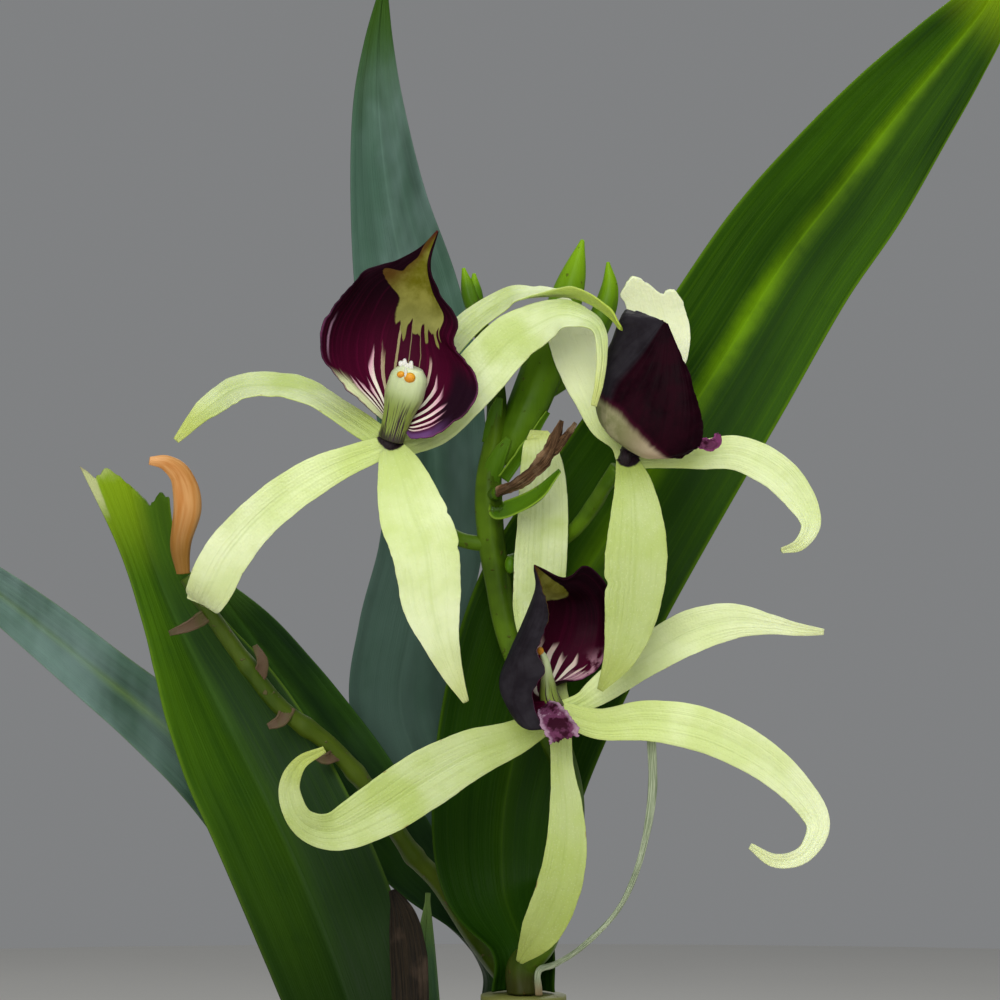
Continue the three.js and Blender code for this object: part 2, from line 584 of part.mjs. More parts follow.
// ---- blooms ----
// at: hub of the bloom as seen. yaw: where its face looks, in degrees to the right of the viewer.
// lean: how far the bloom is turned to the right, as seen. Tepal rows: [across, up, back, width, roll].
// The lip is uppermost and shell-shaped: a net of points [right, down, back] in steps of the view, one row
// across it after another from base to tip. tongue: a small lobe that curls out of its margin.
// ends: the ragged tip of a tepal.
// Column rows: [high, side, forward, radius] from the hub.
const HUB_WIDTH = 3.2;
const HUB_TOP = HUB_RADIUS + GAP;
const BLOOMS = {
  left: {
    at: [-16.5, 8.3, -14],
    yaw: -12,
    lean: 20,
    tepals: {
      sepal_left: [
        [-24.5, 13.5, -13, 5, 48],
        [-29.3, 16.2, -11, 7, 58],
        [-34, 17, -9.5, 7.4, 60],
        [-39, 16.7, -8.5, 7.2, 56],
        [-42.2, 14.9, -8, 5.4, 45],
        [-45.5, 12.3, -8, 2.8, 20],
        [-48.6, 8.9, -8.5, 1, 0],
      ],
      petal_left: [
        [-22.8, 5.9, -15, 4.4, 0],
        [-27.3, 3.8, -15, 5.5, 0],
        [-32.4, 0.5, -15, 6.1, 0],
        [-37.2, -3.7, -14.5, 6.4, 0],
        [-41.2, -8.6, -13.5, 7, 0],
        [-43.6, -13.4, -11.5, 6.8, 0],
        [-44.6, -15.4, -7.5, 5, 0],
        [-43.4, -13.8, -5, 2, 0],
      ],
      sepal_low: [
        [-15, 4.4, -16, 6.9, 0],
        [-13.2, -1.8, -17, 9.9, 0],
        [-11.4, -6.6, -17.5, 10.2, 0],
        [-10.7, -11.3, -17.5, 9.4, 0],
        [-10.2, -16, -17, 8.5, 0],
        [-8.9, -21, -16, 5.7, 0],
        [-7.2, -25.8, -14.5, 3.3, 0],
        [-5.1, -30.3, -13, 0.9, 0],
      ],
      petal_right: [
        [-13, 9.2, -12, 4.6, 0],
        [-9, 12, -10.8, 6.5, 0],
        [-3, 19, -10.5, 8, -5],
        [1.4, 23.7, -10.5, 7.8, -12],
        [4.8, 25.8, -11, 7.2, -20],
        [8.9, 27.6, -12.5, 6, -35],
        [12.3, 27.1, -14, 4.4, -42],
        [14.6, 25.5, -16, 2.8, -42],
        [15.3, 21.9, -18, 1.8, -30],
        [14.9, 17.7, -19, 1.4, -20],
        [14.1, 14.1, -19.5, 0.9, -20],
      ],
      sepal_right: [
        [-15, 11.4, -10, 3.6, -10],
        [-12, 16, -7.5, 4.5, -30],
        [-6.8, 24, -6, 6.6, -50],
        [0.6, 29.8, -6.5, 7, -62],
        [4.8, 30.9, -8, 7, -75],
        [9.5, 31, -10, 6.5, -88],
        [13, 30.2, -12.5, 5.8, -98],
        [16.4, 28, -16, 4, -100],
        [18.2, 25.7, -18.5, 1, -100],
      ],
    },
    lip: [
      [
        [387, 424, -13.4], [390, 424, -13.1], [393, 425, -12.9], [396, 426, -12.8],
        [400, 428, -12.9], [401, 426, -12.9], [403, 426, -13.2],
      ],
      [
        [366, 406, -16.5], [372, 404, -15.2], [382, 402, -13.8], [398, 406, -13.2],
        [412, 414, -14.2], [416, 428, -16], [412, 439, -17.6],
      ],
      [
        [346, 386, -17.6], [356, 387, -15.8], [375, 388, -13.2], [402, 392, -12.4],
        [425, 404, -13.8], [436, 420, -16.4], [434, 434, -18.6],
      ],
      [
        [325, 363, -18], [341, 368, -15.8], [369, 372, -12.8], [405, 376, -11.9],
        [436, 388, -13.6], [455, 404, -16.6], [462, 418, -19],
      ],
      [
        [320, 338, -18], [337, 346, -15.6], [368, 352, -12.6], [408, 356, -11.6],
        [440, 365, -13.2], [464, 377, -16], [480, 390, -18.4],
      ],
      [
        [327, 314, -17.4], [342, 324, -15.2], [370, 333, -12.5], [410, 338, -11.6],
        [436, 346, -12.8], [456, 355, -14.8], [468, 364, -16.8],
      ],
      [
        [344, 292, -16.2], [354, 303, -14.6], [377, 314, -12.6], [412, 322, -11.9],
        [434, 330, -12.8], [446, 338, -14.2], [454, 346, -15.6],
      ],
      [
        [364, 271, -15], [371, 281, -14.2], [388, 293, -13.1], [416, 305, -12.6],
        [438, 312, -13.2], [450, 318, -14], [458, 324, -14.8],
      ],
      [
        [396, 260, -14.8], [400, 264, -14.6], [408, 272, -14], [421, 284, -13.6],
        [430, 288, -13.9], [436, 292, -14.2], [440, 295, -14.6],
      ],
      [
        [420, 247, -15.4], [422, 249, -15.4], [425, 253, -15.2], [428, 258, -15],
        [429, 261, -15.1], [429, 264, -15.2], [429, 266, -15.3],
      ],
      [
        [437, 230, -16.3], [437.3, 230.3, -16.3], [437.6, 230.6, -16.3], [438, 231, -16.3],
        [438.2, 231.3, -16.3], [438.4, 231.6, -16.3], [438.6, 232, -16.3],
      ],
    ],
    column: [
      [HUB_TOP, 0, 1.2, 1.5],
      [5, 0, 1.9, 1.9],
      [8, 0, 2.6, 2.5],
      [10.2, 0, 3.2, 2.6],
      [11.6, 0, 3.6, 1.6],
    ],
  },
  right: {
    at: [19, 6.3, -12],
    yaw: 110,
    lean: 12,
    ends: {
      sepal_right: ragged([
        [-1, 0.075],
        [-0.6, 0],
        [0.35, 0.095],
        [0.75, 0.08],
        [1, 0.125],
      ]),
    },
    tongue: [
      [694, 444, -18.9, 1.6],
      [702, 447, -19.2, 2.4],
      [712, 447, -19.8, 2.8],
      [719, 442, -20.2, 2.4],
      [718, 432, -20.2, 0.9],
    ],
    tepals: {
      sepal_left: [
        [17.7, 8.6, -8.6, 2.6, 0],
        [15.4, 11.4, -4.4, 4.4, 0],
        [14, 16.2, -2.2, 6.8, 0],
        [11.7, 21.8, -1.2, 7.5, 0],
        [10, 26.5, -1.6, 6.5, 0],
        [9.6, 28.6, -1.4, 4, 0],
        [10.2, 27.8, -0.2, 1.6, 0],
      ],
      sepal_right: [
        [19.5, 6.8, -6.5, 3, 0],
        [20, 8.4, -1.4, 3.4, 0],
        [20.9, 12, 1.4, 4.6, 0],
        [23, 17.3, 2.4, 6.5, 0],
        [24.6, 23.5, 3, 8, 0],
        [23.4, 28.5, 2.6, 8.6, 0],
        [21.7, 33.4, 0.6, 8.4, 0],
      ],
      petal_right: [
        [24.8, 6.4, -11, 3.2, 0],
        [30, 6.8, -10.5, 4.4, 0],
        [35.7, 7, -10.5, 5.2, 0],
        [41.3, 4.3, -11, 5.4, 0],
        [45, 0.2, -11.5, 4.6, 0],
        [46.6, -3.6, -12.5, 3, 0],
        [45, -6.6, -14.5, 1.9, 0],
        [42.2, -7.6, -16, 0.9, 0],
      ],
      petal_low: [
        [20.1, 1.5, -15, 6, 0],
        [20.5, -4.5, -17, 8.4, 0],
        [20.3, -10.5, -18, 9.2, 0],
        [19.6, -17.3, -18.5, 7.8, 0],
        [18, -23.3, -18.5, 5, 0],
        [15, -28.5, -17.5, 1, 0],
      ],
      sepal_low: [
        [20.8, 3.4, -9.4, 2.6, 0],
        [21.6, 0.5, -7.5, 3.6, 0],
        [21.4, -4.5, -5.5, 6, 0],
        [20.9, -10.5, -3, 6.2, 0],
        [20.1, -15.8, -1, 4.5, 0],
        [19.2, -21, 0, 1, 0],
      ],
    },
    lip: [
      [
        [654, 459, -15.4], [644, 460, -15.6], [634, 458, -15.3], [622, 453, -14.9],
        [614, 447, -14], [610, 439, -11.4], [634, 431, -7],
      ],
      [
        [676, 457, -17.4], [660, 455, -18], [640, 449, -17.6], [618, 438, -16.6],
        [605, 426, -14.6], [603, 412, -10.2], [650, 405, -3.8],
      ],
      [
        [697, 449, -18.8], [678, 447, -19.2], [650, 434, -18.8], [620, 415, -17.4],
        [603, 402, -15], [601, 388, -9.8], [652, 380, -2.8],
      ],
      [
        [704, 430, -19.4], [684, 420, -19.8], [657, 406, -19], [628, 391, -17.4],
        [608, 381, -15.2], [606, 360, -9.8], [646, 350, -2.8],
      ],
      [
        [699, 404, -19.4], [684, 394, -19.6], [663, 383, -19], [640, 373, -17.6],
        [621, 366, -15.6], [613, 340, -10.6], [632, 324, -4.4],
      ],
      [
        [689, 373, -18.8], [680, 368, -19], [665, 362, -18.4], [650, 356, -17.6],
        [637, 350, -16.2], [622, 324, -12.4], [627, 311, -8.4],
      ],
      [
        [678, 348, -17.8], [673, 345, -17.8], [666, 342, -17.6], [658, 339, -17.2],
        [651, 335, -16.6], [640, 321, -14.8], [644, 314, -13],
      ],
      [
        [668, 324, -16.8], [667, 323.4, -16.8], [666, 322.8, -16.7], [665, 322.2, -16.7],
        [664, 321.6, -16.7], [663, 321, -16.6], [662, 320.4, -16.6],
      ],
    ],
    column: [
      [HUB_TOP, 0, 0.9, 1.4],
      [5, 0, 1.4, 1.7],
      [8, 0, 1.9, 2.2],
      [10.2, 0, 2.3, 2.2],
      [11.4, 0, 2.5, 1.2],
    ],
  },
  low: {
    at: [9, -31.8, -10],
    yaw: 58,
    lean: -8,
    tongue: [
      [545, 706, -15.6, 2.4],
      [551, 714, -18.2, 4],
      [557, 723, -20, 4.8],
      [562, 732, -20.8, 5.2],
      [565, 741, -20.6, 4.4],
    ],
    tepals: {
      sepal_left: [
        [8.9, -30.2, -6.6, 3, 0],
        [8.3, -28, -3.6, 3.6, 0],
        [7.2, -24, -1.6, 5.8, 0],
        [6, -17.5, -1, 7.8, 0],
        [6, -10.5, -1, 8, 0],
        [6.4, -3.5, -1.2, 7.8, 0],
        [6.4, 3, -2, 7, 0],
        [6, 7.4, -3, 5.5, 0],
        [5.8, 9.1, -2.6, 4, 0],
        [5.7, 8.5, -1.4, 2, 0],
      ],
      petal_left: [
        [2.3, -35.6, -8.5, 5.2, 0],
        [-4.5, -38.2, -10.5, 7.4, 0],
        [-11.3, -42, -14.5, 8.7, 0],
        [-18.3, -46.5, -18, 8.2, 0],
        [-24.8, -49.6, -19, 6, 0],
        [-29.6, -48.3, -21, 4, 0],
        [-31.6, -43.6, -22, 3.2, 0],
        [-30.1, -39.6, -22.5, 2.2, 0],
        [-26.3, -37.4, -22, 1, 0],
      ],
      sepal_low: [
        [9.3, -39.8, -13, 3.4, 0],
        [9.9, -45.8, -14, 4.8, 0],
        [9.9, -52.5, -15, 6.2, 0],
        [8.6, -58.8, -15, 6.6, 0],
        [6, -64.8, -13, 5.8, 0],
        [2.9, -69.3, -9.5, 1.2, 0],
      ],
      petal_right: [
        [15, -33.6, -12, 4.6, 0],
        [22.5, -33.1, -13, 6.1, 0],
        [30.8, -34.6, -13, 6.6, 0],
        [38.6, -38.4, -12.5, 6, 0],
        [44.5, -43.4, -12, 4.8, 0],
        [47.7, -48.6, -12, 3.6, 0],
        [45.6, -53.1, -13, 2.6, 0],
        [41.3, -54.1, -14, 2.1, 0],
        [37.5, -51.9, -14.5, 0.9, 0],
      ],
      sepal_right: [
        [12.2, -30.4, -9.4, 3, 0],
        [15, -28.5, -9, 4.3, 0],
        [21.8, -23.6, -7, 5.8, 0],
        [28.5, -19.8, -6, 6.6, 0],
        [34.8, -18.2, -6, 5.4, 0],
        [40.2, -18.6, -6.5, 3.2, 0],
        [44.6, -19.4, -7, 2, 0],
        [48.6, -19.8, -7.5, 0.9, 0],
      ],
    },
    lip: [
      [
        [547, 712, -15], [546, 709, -14], [545, 704, -12.6],
        [546, 697, -10.4], [551, 690, -8.4], [560, 690, -7.2],
      ],
      [
        [537, 711, -18], [521, 719, -16.6], [526, 700, -8],
        [545, 690, -6.2], [557, 684, -6.2], [564, 680, -7.6],
      ],
      [
        [535, 696, -18.4], [507, 704, -15.6], [518, 682, -6.8],
        [548, 672, -4.6], [571, 676, -5], [584, 679, -7],
      ],
      [
        [543, 678, -18.2], [502, 686, -14.6], [515, 663, -6.2],
        [552, 655, -3.4], [586, 664, -4], [602, 664, -6],
      ],
      [
        [541, 657, -18], [510, 662, -14.2], [520, 642, -6.2],
        [560, 640, -2.8], [595, 645, -3], [610, 642, -5],
      ],
      [
        [546, 632, -17.4], [522, 636, -14.2], [530, 618, -7],
        [566, 618, -2.8], [599, 620, -2.6], [612, 614, -4.6],
      ],
      [
        [549, 612, -16.6], [533, 610, -14.4], [537, 598, -8.6],
        [566, 600, -4], [594, 598, -3], [609, 590, -4.6],
      ],
      [
        [545, 597, -16], [537, 592, -14.6], [540, 586, -10.8],
        [558, 590, -7.6], [579, 584, -5.4], [588, 566, -5.6],
      ],
      [
        [540, 581, -15.6], [537, 579, -15], [538, 577, -13.4],
        [547, 578, -11.4], [557, 578, -9.8], [566, 579, -9.2],
      ],
      [
        [534, 565, -16], [534.3, 565.1, -16], [534.6, 565.2, -15.9],
        [534.9, 565.3, -15.9], [535.2, 565.4, -15.8], [535.5, 565.5, -15.8],
      ],
    ],
    column: [
      [HUB_TOP + 0.2, 0, 0.6, 1.3],
      [5, -0.6, 0.3, 1.5],
      [7.5, -1.3, 0.1, 1.6],
      [9.3, -1.8, -0.1, 1.5],
      [10.2, -2, -0.2, 0.8],
    ],
  },
};

// The bloom's own axes: where it faces and which way its lip points.
function axesOf({ at, yaw, lean }) {
  const up = new THREE.Vector3(Math.sin(lean * DEGREE), 0, Math.cos(lean * DEGREE));
  const face = new THREE.Vector3(Math.sin(yaw * DEGREE), -Math.cos(yaw * DEGREE), 0);
  face.addScaledVector(up, -up.dot(face)).normalize();
  const side = up.clone().cross(face);
  const hub = vector(seen(at));
  const place = (high, across, forward) =>
    hub.clone().addScaledVector(up, high).addScaledVector(side, across).addScaledVector(face, forward);
  return { hub, place };
}

for (const [name, bloom] of Object.entries(BLOOMS)) {
  const { hub, place } = axesOf(bloom);
  const root = [...hub.toArray(), HUB_WIDTH, 0, 0, 10];
  const tepals = Object.entries(bloom.tepals).map(([key, rows]) => {
    const spine = [root, ...rows.map((row) => seen([...row, 0, 10]))];
    return blade(spine, { steps: 12, end: bloom.ends?.[key] });
  });
  add(`bloom_${name}_tepals`, fuse([...tepals, ball(hub, HUB_RADIUS)]), MATERIALS.tepal);
  const net = bloom.lip.map((row) => row.map(viewed));
  const lobes = [sheet((t, s) => netPoint(net, t, s), 13, 8, TEPAL_THICKNESS)];
  if (bloom.tongue) {
    const spine = bloom.tongue.map((row) => [...viewed(row), row[3], 0, 0, 20]);
    lobes.push(blade(spine, { steps: 5, cells: 2 }));
  }
  add(`bloom_${name}_lip`, fuse(lobes), MATERIALS.lip);
  const column = bloom.column.map(([high, across, forward, radius]) => [
    ...place(high, across, forward).toArray(),
    radius,
  ]);
  add(`bloom_${name}_column`, stem(column, { steps: 7 }), MATERIALS.column);
}

// ---- flower stem: rachis, pedicels, bracts and buds in one piece ----
const stemFoot = ({ neck, top }, radius) => [
  [...neck, top + GAP, radius],
  [...neck, top + GAP + 4, radius],
];
const RACHIS = [
  [6.6, -66, -3.5, 2.1],
  [9.2, -57, -2.5, 2],
  [10.6, -47, 0.5, 2],
  [9.3, -39, 3, 2],
  [5.2, -30, 3, 2],
  [1.5, -21, 3, 2],
  [-0.4, -12, 2.5, 2],
  [-1.5, -4.5, 2, 2],
  [-1.7, 3, 1.5, 1.9],
  [-0.6, 10.5, 1, 1.6],
  [-0.8, 18, 0.5, 1.4],
  [-3.2, 27, 0, 1.2],
  [-4.6, 32, 0, 0.8],
];
// Pedicel rows up to the last one before the hub of each bloom.
const PEDICELS = {
  left: [
    [-1.6, -6.8, 2, 1.2],
    [-6.8, -5.5, 1.5, 1.1],
    [-11.3, -1, -1.5, 1.1],
    [-14.2, 4.4, -7.5, 1.2],
  ],
  right: [
    [1, -9.5, 2.5, 1.2],
    [6, -7.8, 3.5, 1.1],
    [10.8, -4.8, 1, 1.1],
    [14.2, -0.6, -3.5, 1.2],
    [15.8, 2, -8.6, 1.1],
  ],
  low: [
    [4, -28, 3, 1.3],
    [3.2, -31.4, -0.5, 1.2],
    [5.4, -33, -5, 1.2],
  ],
};
const BUDS = [
  [
    [0.2, 5.5, 1, 1.2],
    [2.6, 10.5, 1.5, 2.7],
    [5.4, 17, 2.5, 3.2],
    [8.4, 25.5, 4.5, 2.9],
    [10.8, 33, 6, 2.1],
    [12.4, 39, 7, 0.7],
  ],
  [
    [-0.4, 11, 1, 1],
    [5, 15, 7, 1.3],
    [11, 20, 8.5, 1.9],
    [15, 27, 9, 1.9],
    [16.4, 31.5, 9, 1.4],
    [16.2, 35.7, 9, 0.6],
  ],
  [
    [-3.4, 27, 0, 1],
    [-4.6, 31, 0, 1.5],
    [-5.5, 34.8, 0, 0.6],
  ],
  [
    [-3.2, 27.5, 0.5, 1],
    [-3.7, 31, 0.5, 1.4],
    [-3.9, 34, 0.5, 0.6],
  ],
];
// Bracts: [across, up, back, width, roll, fold, cup].
const BRACTS = [
  [
    [-1.6, 2.6, 0.2, 3.4, 0, 0, -60],
    [-0.5, 6, -0.9, 3, 0, 0, -40],
    [1.3, 9.3, -1.6, 0.9, 0, 0, 0],
  ],
  [
    [0.4, 3.2, 0.6, 2.2, 30, 0, 30],
    [3.5, 7.5, 0, 1.8, 30, 0, 30],
    [7.2, 13.2, 0.3, 0.8, 30, 0, 0],
  ],
  [
    [-1.4, 8.5, 0.4, 3, 0, 0, -50],
    [-0.8, 12.5, -0.5, 2.4, 0, 0, -30],
    [0, 15.4, -1, 0.9, 0, 0, 0],
  ],
  [
    [-0.6, -1.2, 1.2, 3, -40, 0, 50],
    [0.6, -1.8, -5, 3.4, -40, 0, 50],
    [5.4, 0.2, -8.6, 3.4, -50, 0, 50],
    [9, 4.4, -10.4, 0.9, -50, 0, 20],
  ],
];
// The stub that carries the withered bloom, and the bloom's own two shrivelled strands.
const STUB = [
  [-1.2, 0.8, 1.6, 1.1],
  [-0.4, 1, -3.4, 0.9],
];
const WITHERED = [
  [
    [-0.3, 1.1, -3.9, 0.9],
    [2.4, 2.4, -7, 1.1],
    [5.8, 5.1, -10, 1.3],
    [7.8, 8, -11.6, 1.2],
    [9.2, 11.9, -12.8, 0.5],
  ],
  [
    [6.4, 6, -10, 0.9],
    [8.6, 8, -11.6, 0.9],
    [10, 9.6, -12.2, 0.7],
    [11.3, 11.6, -12.6, 0.4],
  ],
];

function pedicel(name, rows) {
  const { hub } = axesOf(BLOOMS[name]);
  const spine = rows.map(seen);
  const before = vector(spine.at(-1));
  const end = hub.clone().addScaledVector(hub.clone().sub(before).normalize(), -HUB_TOP);
  return stem([...spine, [...end.toArray(), 1.3]], { steps: 2 * rows.length, sides: 7 });
}

const bract = (rows) => blade(rows.map(seen), { steps: 4, cells: 2, thickness: BRACT_THICKNESS });
add(
  "flower_stem",
  fuse([
    stem([...stemFoot(BULBS.front, 2.3), ...RACHIS.map(seen)], { steps: 26, sides: 7 }),
    ...Object.entries(PEDICELS).map(([name, rows]) => pedicel(name, rows)),
    ...BUDS.map((rows) => stem(rows.map(seen), { steps: 2 * rows.length - 2, sides: 6 })),
    ...BRACTS.map(bract),
    stem(STUB.map(seen), { steps: 2 }),
  ]),
  MATERIALS.stem,
);
add("withered_bloom", fuse(WITHERED.map((rows) => stem(rows.map(seen), { steps: 8, sides: 6 }))), MATERIALS.dry);

// A loose strand of sheath arches from the neck of the front bulb to behind the lowest bloom.
add(
  "sheath_strand",
  stem(
    [
      [BULBS.front.neck[0] + 3.4, BULBS.front.neck[1] - 2.6, BULBS.front.top + GAP, 0.5],
      seen([10.8, -68.4, -5.5, 0.45]),
      seen([17.3, -61, -6.5, 0.45]),
      seen([21.8, -52.5, -7.5, 0.5]),
      seen([23.4, -43.5, -8.5, 0.6]),
      seen([22.8, -35.5, -9.5, 0.6]),
    ],
    { steps: 14, sides: 6 },
  ),
  MATERIALS.strand,
);

// ---- last season's spent stem, with dried bracts at its joints and one orange, withered bud ----
const SPENT = [
  [0, -70.5, 23.5, 1.6],
  [-4, -65, 20, 1.6],
  [-9, -57.5, 16.5, 1.5],
  [-13.2, -53, 14, 1.4],
  [-19.4, -43.8, 9.5, 1.3],
  [-25.5, -36.8, 6, 1.3],
  [-33, -31, 3.5, 1.25],
  [-39, -23.3, 2, 1.2],
  [-44.3, -15.8, 1, 1.1],
  [-47.1, -11.6, 0.5, 1],
];
const DRIED_BRACTS = [
  [
    [-43.6, -17, 1, 2.2, 0, 0, 30],
    [-46.4, -18.8, -0.8, 1.8, 0, 0, 30],
    [-49.6, -20, -1.8, 0.8, 0, 0, 0],
  ],
  [
    [-36.4, -27, 2.4, 2.2, 0, 0, 30],
    [-35.6, -24.4, 0.8, 1.8, 0, 0, 30],
    [-36.8, -21.8, 0.4, 0.8, 0, 0, 0],
  ],
  [
    [-31.8, -31, 3.4, 2.4, 0, 0, 30],
    [-32.8, -33, 2, 2, 0, 0, 30],
    [-34.8, -34, 1.4, 0.9, 0, 0, 0],
  ],
  [
    [-24.4, -38, 6, 2.2, 0, 0, 30],
    [-26, -38.8, 4.4, 1.8, 0, 0, 30],
    [-27.6, -38.6, 3.8, 0.9, 0, 0, 0],
  ],
];
const WITHERED_BUD = [
  [-47.5, -11, 0.2, 1],
  [-47.9, -6.6, -0.6, 1.6],
  [-46.9, -1, -1.2, 2.1],
  [-47.8, 3.4, -2.4, 1.7],
  [-50, 5.5, -3.4, 1.2],
  [-52.6, 5.9, -4, 0.6],
];
add(
  "spent_stem",
  fuse([stem([...stemFoot(BULBS.back, 1.7), ...SPENT.map(seen)], { steps: 20, sides: 7 }), ...DRIED_BRACTS.map(bract)]),
  MATERIALS.stem,
);
add("withered_bud", stem(WITHERED_BUD.map(seen), { steps: 12, flat: 0.6 }), MATERIALS.orange);

export default plant;
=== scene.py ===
"""Potted encyclia orchid, dressed for looking at.

A clay pot of bark, four pseudobulbs on a creeping rhizome, strap leaves, a flower stem with three open
blooms, buds and a withered bloom, and last season's spent stem. Tables are in millimetres, meshes in metres.
"""

import math

import bpy
import numpy as np
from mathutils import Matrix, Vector


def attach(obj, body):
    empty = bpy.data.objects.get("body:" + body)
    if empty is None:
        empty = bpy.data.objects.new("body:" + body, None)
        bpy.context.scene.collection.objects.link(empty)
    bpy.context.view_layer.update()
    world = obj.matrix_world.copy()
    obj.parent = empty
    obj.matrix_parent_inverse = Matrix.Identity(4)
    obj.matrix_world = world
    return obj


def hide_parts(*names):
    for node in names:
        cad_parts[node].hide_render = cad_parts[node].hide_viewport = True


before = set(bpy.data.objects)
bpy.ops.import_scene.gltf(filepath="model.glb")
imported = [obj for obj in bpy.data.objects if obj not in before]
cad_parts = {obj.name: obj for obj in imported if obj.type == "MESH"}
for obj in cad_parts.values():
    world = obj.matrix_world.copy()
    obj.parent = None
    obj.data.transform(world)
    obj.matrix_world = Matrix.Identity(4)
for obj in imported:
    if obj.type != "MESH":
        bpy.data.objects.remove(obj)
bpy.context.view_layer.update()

bl_info = {
    "name": "Potted Encyclia Orchid",
    "version": (1, 0, 0),
    "blender": (4, 5, 0),
    "location": "3D View > Sidebar > Orchid",
    "description": "Grows the orchid in its clay pot piece by piece, and sets up its stage",
    "category": "Add Mesh",
}

MM = 0.001
DEGREE = math.pi / 180
GOLDEN_TURN = 2.39996

# Sizes and tables, in millimetres
GAP = 0.3
POT = {
  "rim_depth": 22, "rim_step": 3.5, "floor": 7, "chamfer": 1.5, "holes": 3, "hole_radius": 5,
  "hole_ring": 24,
}
BARK = {"chip": 13, "lift": 2.6, "tilt": 0.28, "seam": 1.6, "clear": 11.5}
RHIZOME = {"height": 99, "radius": 3.6, "collar_radius": 5.6, "collar_top": 104}
YOUNG_SHOOT = [-8.5, 9.5]
ROOT_RADIUS = 1.1
NECK_RADIUS = 6.4
LEAF_RING = 4.3
SPRAY_HEIGHT = 255
SIGHT = 600
VIEW_STEP = 0.15
HUB_RADIUS = 2.1
HUB_WIDTH = 3.2
HUB_TOP = HUB_RADIUS + GAP
THINNEST = 0.8
CREASE = 0.05
CHIP_RINGS = 6
CHIP_SIDES = 8
FLOOR_SIDES = 96
FLOOR_SINK = 0.0002
SENSOR_WIDTH = 36.0
FRONT = np.array([0.0, -1.0, 0.0])

BULBS = {
  "front": {"foot": [2, -1], "neck": [3.5, -2], "top": 181, "radius": 10.6},
  "back": {"foot": [0, 27], "neck": [2, 28], "top": 175, "radius": 10.2},
  "left": {"foot": [-19, -12], "neck": [-17, -14], "top": 157, "radius": 9.8},
  "far": {"foot": [-29, 16], "neck": [-27, 14], "top": 170, "radius": 9.6},
}

LEAVES = {
  "leaf_right": {
    "foot": ("front", 0, 12),
    "rows": [
      [0.5, -58, 9.5, 19.5, 0, 10, 15], [0.8, -45, 10.5, 23.4, 0, 12, 8], [4.5, -30, 12.5, 27, 0, 10, 6],
      [10.6, -15, 14.5, 28.8, 0, 8, 5], [21, 2, 17, 27, 0, 8, 4], [32.3, 19.2, 22, 24.8, 0, 8, 4],
      [42.6, 35.6, 27, 23.2, 0, 8, 4], [51.4, 47, 31, 21.6, 0, 8, 3], [59.4, 57.4, 34, 18, 0, 8, 3],
      [66.8, 66.4, 36, 13.6, 0, 8, 2], [72.8, 74, 37.5, 8.8, 0, 8, 1], [77, 82, 39, 1.2, 0, 8, 0],
    ],
 },
  "leaf_back": {
    "foot": ("back", -90, 10),
    "rows": [
      [0, -60, 33, 12, -40, 6, 35], [-9, -46, 33, 14.5, -10, 8, 15], [-14.8, -32, 32, 16, 0, 8, 8],
      [-13.5, -20, 31, 16.5, 0, 8, 8], [-10.5, -8, 30, 16.5, 0, 8, 8], [-9.6, 4, 30, 16.5, 0, 8, 8],
      [-11, 17, 31, 17.5, 0, 8, 8], [-13.9, 31, 32, 16.8, 0, 8, 8], [-16.7, 45, 33, 12.4, 0, 10, 8],
      [-18.2, 58.5, 34, 8.4, 0, 12, 6], [-18.2, 68.3, 34.5, 4.8, 0, 12, 4], [-17.4, 77.5, 35, 1, 0, 10, 0],
    ],
 },
  "leaf_inner_left": {
    "foot": ("back", 65, 8),
    "rows": [
      [-7, -62, 29, 10, 50, 6, 35], [-13.8, -53.7, 27, 11.4, 20, 10, 15], [-19.5, -45, 24, 12.8, 5, 12, 8],
      [-26.3, -35.3, 21.5, 12.8, 0, 12, 6], [-32.3, -27, 20, 11.2, 0, 12, 5],
      [-38.3, -18.8, 19, 8.2, 0, 12, 4], [-44.3, -10.5, 18.5, 1.2, 0, 10, 0],
    ],
 },
  "leaf_torn": {
    "foot": ("left", 20, 11),
    "rows": [
      [-18.8, -86.3, -6.5, 17, 20, 16, 30], [-22.2, -77, -3, 21.5, 20, 18, 10],
      [-25.6, -67.5, 0, 23.5, 20, 20, 4], [-30, -56.5, 4.5, 24, 20, 20, 2],
      [-34.8, -46, 8.5, 23.5, 20, 20, 0],
      [-39, -37.5, 10.5, 22.5, 20, 20, 0], [-43, -29.5, 11.5, 19.5, 20, 20, 0],
      [-46.8, -22, 11.5, 14.5, 20, 20, 0], [-49.8, -15.5, 11, 10.8, 20, 20, 0],
      [-53.2, -6, 10.5, 9.4, 10, 20, 0], [-56.6, 7.2, 10, 14, 0, 12, 0],
    ],
 },
  "leaf_far_left": {
    "foot": ("far", 10, 11),
    "rows": [
      [-28.5, -69, 20.5, 12, 10, 8, 25], [-32, -58, 22, 12.5, 8, 12, 8], [-37.2, -48.5, 22.5, 12.5, 5, 12, 6],
      [-44, -40, 22, 12, 0, 12, 5], [-52, -32.6, 20.5, 11, 0, 12, 5], [-60.4, -25.8, 19, 9.8, 0, 12, 4],
      [-69.3, -18.6, 17, 8.6, 0, 12, 3], [-78.6, -11.6, 15, 6.6, 0, 12, 2], [-88, -5.6, 13, 4, 0, 12, 2],
      [-96, -1.5, 12, 1, 0, 10, 0],
    ],
 },
}

